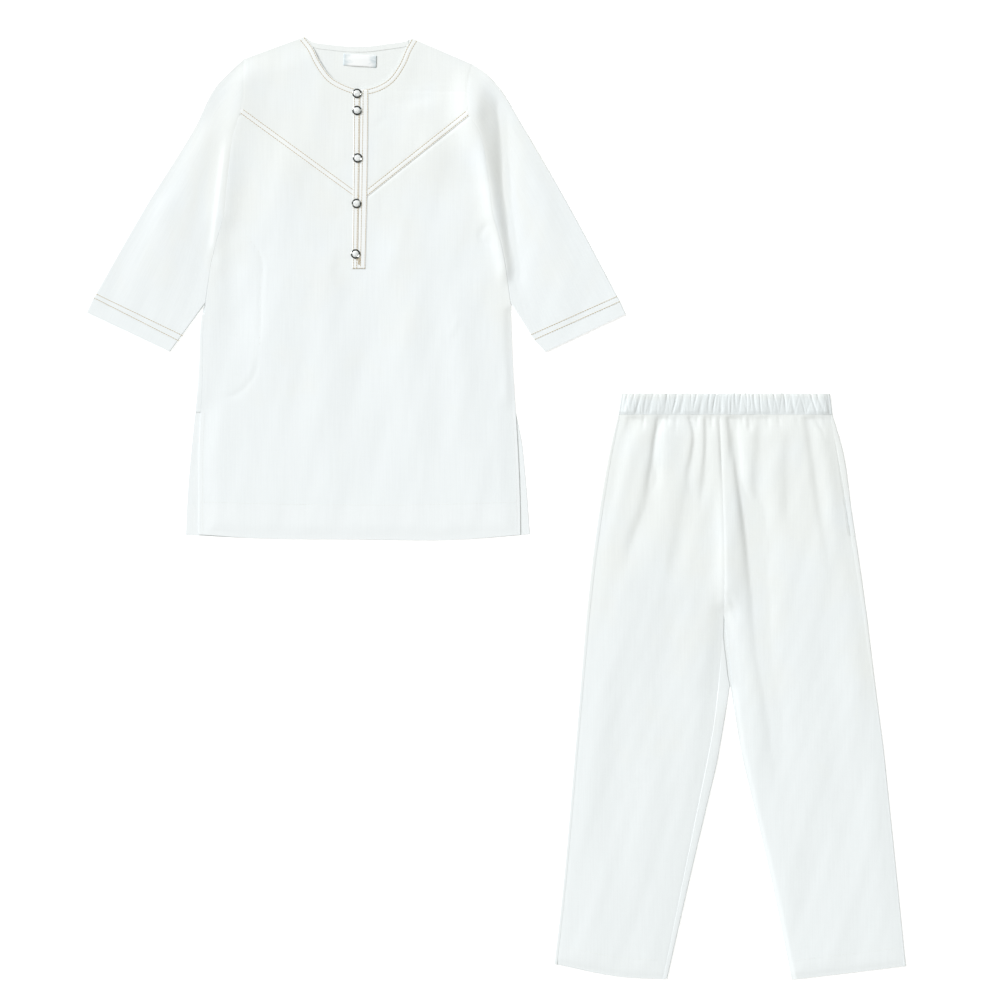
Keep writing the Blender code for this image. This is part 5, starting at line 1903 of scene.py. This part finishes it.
    def build_waistband(self, material: Material) -> None:
        """The waistband, a ring pressed flat, scalloped along its top where the gathers end.

        Args:
            material: the cotton.
        """
        steps, rows = self.band_steps
        ends = [smooth(end, rows) for end in zip(self.band_top, self.band_foot)]
        plan = patch(smooth(self.band_top, steps), smooth(self.band_foot, steps), *ends)
        across = plan[..., 0]
        fall = (1 - soft_step(plan[..., 1] / 9.0)) * (1 - (across / 106.0) ** 8)
        wave = np.sin(across / 0.83 + 1.1 * np.sin(across / 3.7)) + 0.7 * np.sin(across / 1.9)
        plan[..., 1] += self.scallop * wave * fall
        plan = edged(plan, "tb")
        upper = plan[:, 5:-5]
        heights = self.band_level(upper)
        under = BACK_LEVEL + self.band_show * (heights.max() - heights[:, ::-1])
        under[:, [0, -1]] = BACK_LEVEL
        ring, around = pressed_ring(self.place, plan, upper, heights, under)
        piece = Piece("waistband_cloth", "waistband", self.band_cotton, Hold.GATHERED, ("floor",), 0.5)
        piece.add(ring, np.stack([around, plan[:, :1, 1] + 0 * around], axis=-1))
        self.dress(piece, material)

    def sew(self) -> None:
        """The rows at the hems and beside the pocket, and the pocket's bar, in white thread."""

        def on_front(plan: Array) -> Array:
            """The face of the fronts."""
            return self.front_level(plan) + CLOTH / 2

        hems = [beside(smooth(run, 40), self.hem_row)[2:-2] for run in self.hems]
        pocket = moved(smooth(self.pocket_line, 40), self.pocket_row)
        rows = hems + [pocket, moved(pocket, self.pocket_rows_apart), smooth(self.pocket_bar, 6)]
        seam = Seam("trouser_stitches", self.white, **FINE_STITCH)
        sewn = seam.sew(rows, on_front, self.place, self.white.material())
        for piece, made in self.sewing:
            piece.declare(made, [sewn] if piece.name == "trouser_front_right_cloth" else ())

    def build(self) -> None:
        """Makes every piece of the trousers, and sews them."""
        material = self.cotton.material()
        self.build_backs(material)
        self.build_fronts(material)
        self.build_waistband(self.band_cotton.material())
        self.sew()


@dataclass(frozen=True)
class Studio:
    """A pale floor, a soft sky, one soft sun from the upper left, and the camera overhead."""

    floor_half: float = 30.0
    floor_colour: Triple = (0.95, 0.95, 0.95)
    floor_glow: float = 0.45
    sun_strength: float = 3.3
    sun_elevation: float = 34.0
    sun_azimuth: float = 145.0
    sun_softness: float = 34.0
    sky: float = 0.47
    sky_tint: Triple = (1.02, 1.01, 0.95)
    horizon: Triple = (1.0, 1.0, 0.97)
    horizon_ends: Point = (0.04, 0.22)
    sensor: float = 36.0
    camera_reach: float = 100.0
    sun_tint: Triple = (0.985, 0.995, 1.03)
    lens: float = 200.0
    frame_width: float = 1.0
    middle: Point = (0.004, 0.008)

    def build_floor(self) -> None:
        """One large flat face of frosted pane with a faint grain, lit from below a little."""
        size = self.floor_half / MM
        corners = np.array([[-1, -1, 0], [1, -1, 0], [1, 1, 0], [-1, 1, 0]], dtype=float) * size
        floor = mesh_object("floor", corners - (0, 0, 0.02), np.array([[0, 1, 2, 3]]))
        tree = Tree("floor_pane")
        place = tree.node("ShaderNodeTexCoord").outputs["Object"]
        grain = tree.noise(place, (9.0, 9.0, 9.0))
        colour = np.array(self.floor_colour)
        tree.join(tree.blend(grain, colour * 0.995, colour), tree.shader.inputs["Base Color"])
        tree.shader.inputs["Emission Color"].default_value = (1.0, 1.0, 1.0, 1.0)
        glow = tree.settle(roughness=0.95, specular_ior_level=0.1, emission_strength=self.floor_glow)
        floor.data.materials.append(glow)

    def build_light(self) -> None:
        """An even sky, brighter near the horizon, and a wide sun."""
        world = bpy.data.worlds.new("studio_sky")
        world.use_nodes = True
        nodes, links = world.node_tree.nodes, world.node_tree.links
        place = nodes.new("ShaderNodeTexCoord")
        parts = nodes.new("ShaderNodeSeparateXYZ")
        ramp = nodes.new("ShaderNodeValToRGB")
        for element, height in zip(ramp.color_ramp.elements, self.horizon_ends):
            element.position = height
        ramp.color_ramp.elements[0].color = (*self.horizon, 1.0)
        ramp.color_ramp.elements[1].color = (*(self.sky * np.array(self.sky_tint)), 1.0)
        links.new(place.outputs["Generated"], parts.inputs[0])
        links.new(parts.outputs[2], ramp.inputs[0])
        links.new(ramp.outputs[0], nodes["Background"].inputs[0])
        bpy.context.scene.world = world
        sun = bpy.data.lights.new("soft_sun", "SUN")
        sun.energy = self.sun_strength
        sun.color = self.sun_tint
        sun.angle = np.radians(self.sun_softness)
        lamp = bpy.data.objects.new("soft_sun", sun)
        lamp.rotation_euler = np.radians((90.0 - self.sun_elevation, 0.0, self.sun_azimuth + 90.0))
        bpy.context.scene.collection.objects.link(lamp)

    def build_camera(self) -> None:
        """Straight above the set, far enough off to see it without foreshortening."""
        camera = bpy.data.cameras.new("overhead")
        camera.lens = self.lens
        camera.sensor_width = self.sensor
        made = bpy.data.objects.new("overhead", camera)
        distance = self.frame_width * self.lens / camera.sensor_width
        made.location = (*self.middle, distance + 0.0015)
        camera.clip_end = self.camera_reach
        bpy.context.scene.collection.objects.link(made)
        bpy.context.scene.camera = made
        bpy.context.scene.view_settings.view_transform = "Standard"

    def build(self) -> None:
        """Sets the scene."""
        self.build_floor()
        self.build_light()
        self.build_camera()


def main() -> None:
    """Builds both garments and the studio."""
    logging.basicConfig(level=logging.INFO, format="%(message)s", stream=sys.stdout)
    tunic_cotton = ClothFinish("tunic_cotton", "tunic_cloth", (0.845, 0.88, 0.888), (0.885, 0.905, 0.905))
    trouser_cotton = ClothFinish("trouser_cotton", "trouser_cloth", (0.82, 0.855, 0.86), (0.87, 0.895, 0.89))
    band_cotton = ClothFinish(
        "waistband_cotton", "waistband_cloth", (0.772, 0.812, 0.819), (0.85, 0.88, 0.88), warm_until=4.0
    )
    tan = ThreadFinish("tan_thread", "tunic_cloth", (0.50, 0.385, 0.19))
    white = ThreadFinish("white_thread", "tunic_cloth", (0.84, 0.86, 0.84))
    trouser_white = ThreadFinish("trouser_thread", "trouser_cloth", (0.84, 0.86, 0.84))
    Studio().build()
    Tunic(tunic_cotton, tan, white).build()
    Trousers(trouser_cotton, band_cotton, trouser_white).build()


if __name__ == "__main__":
    main()
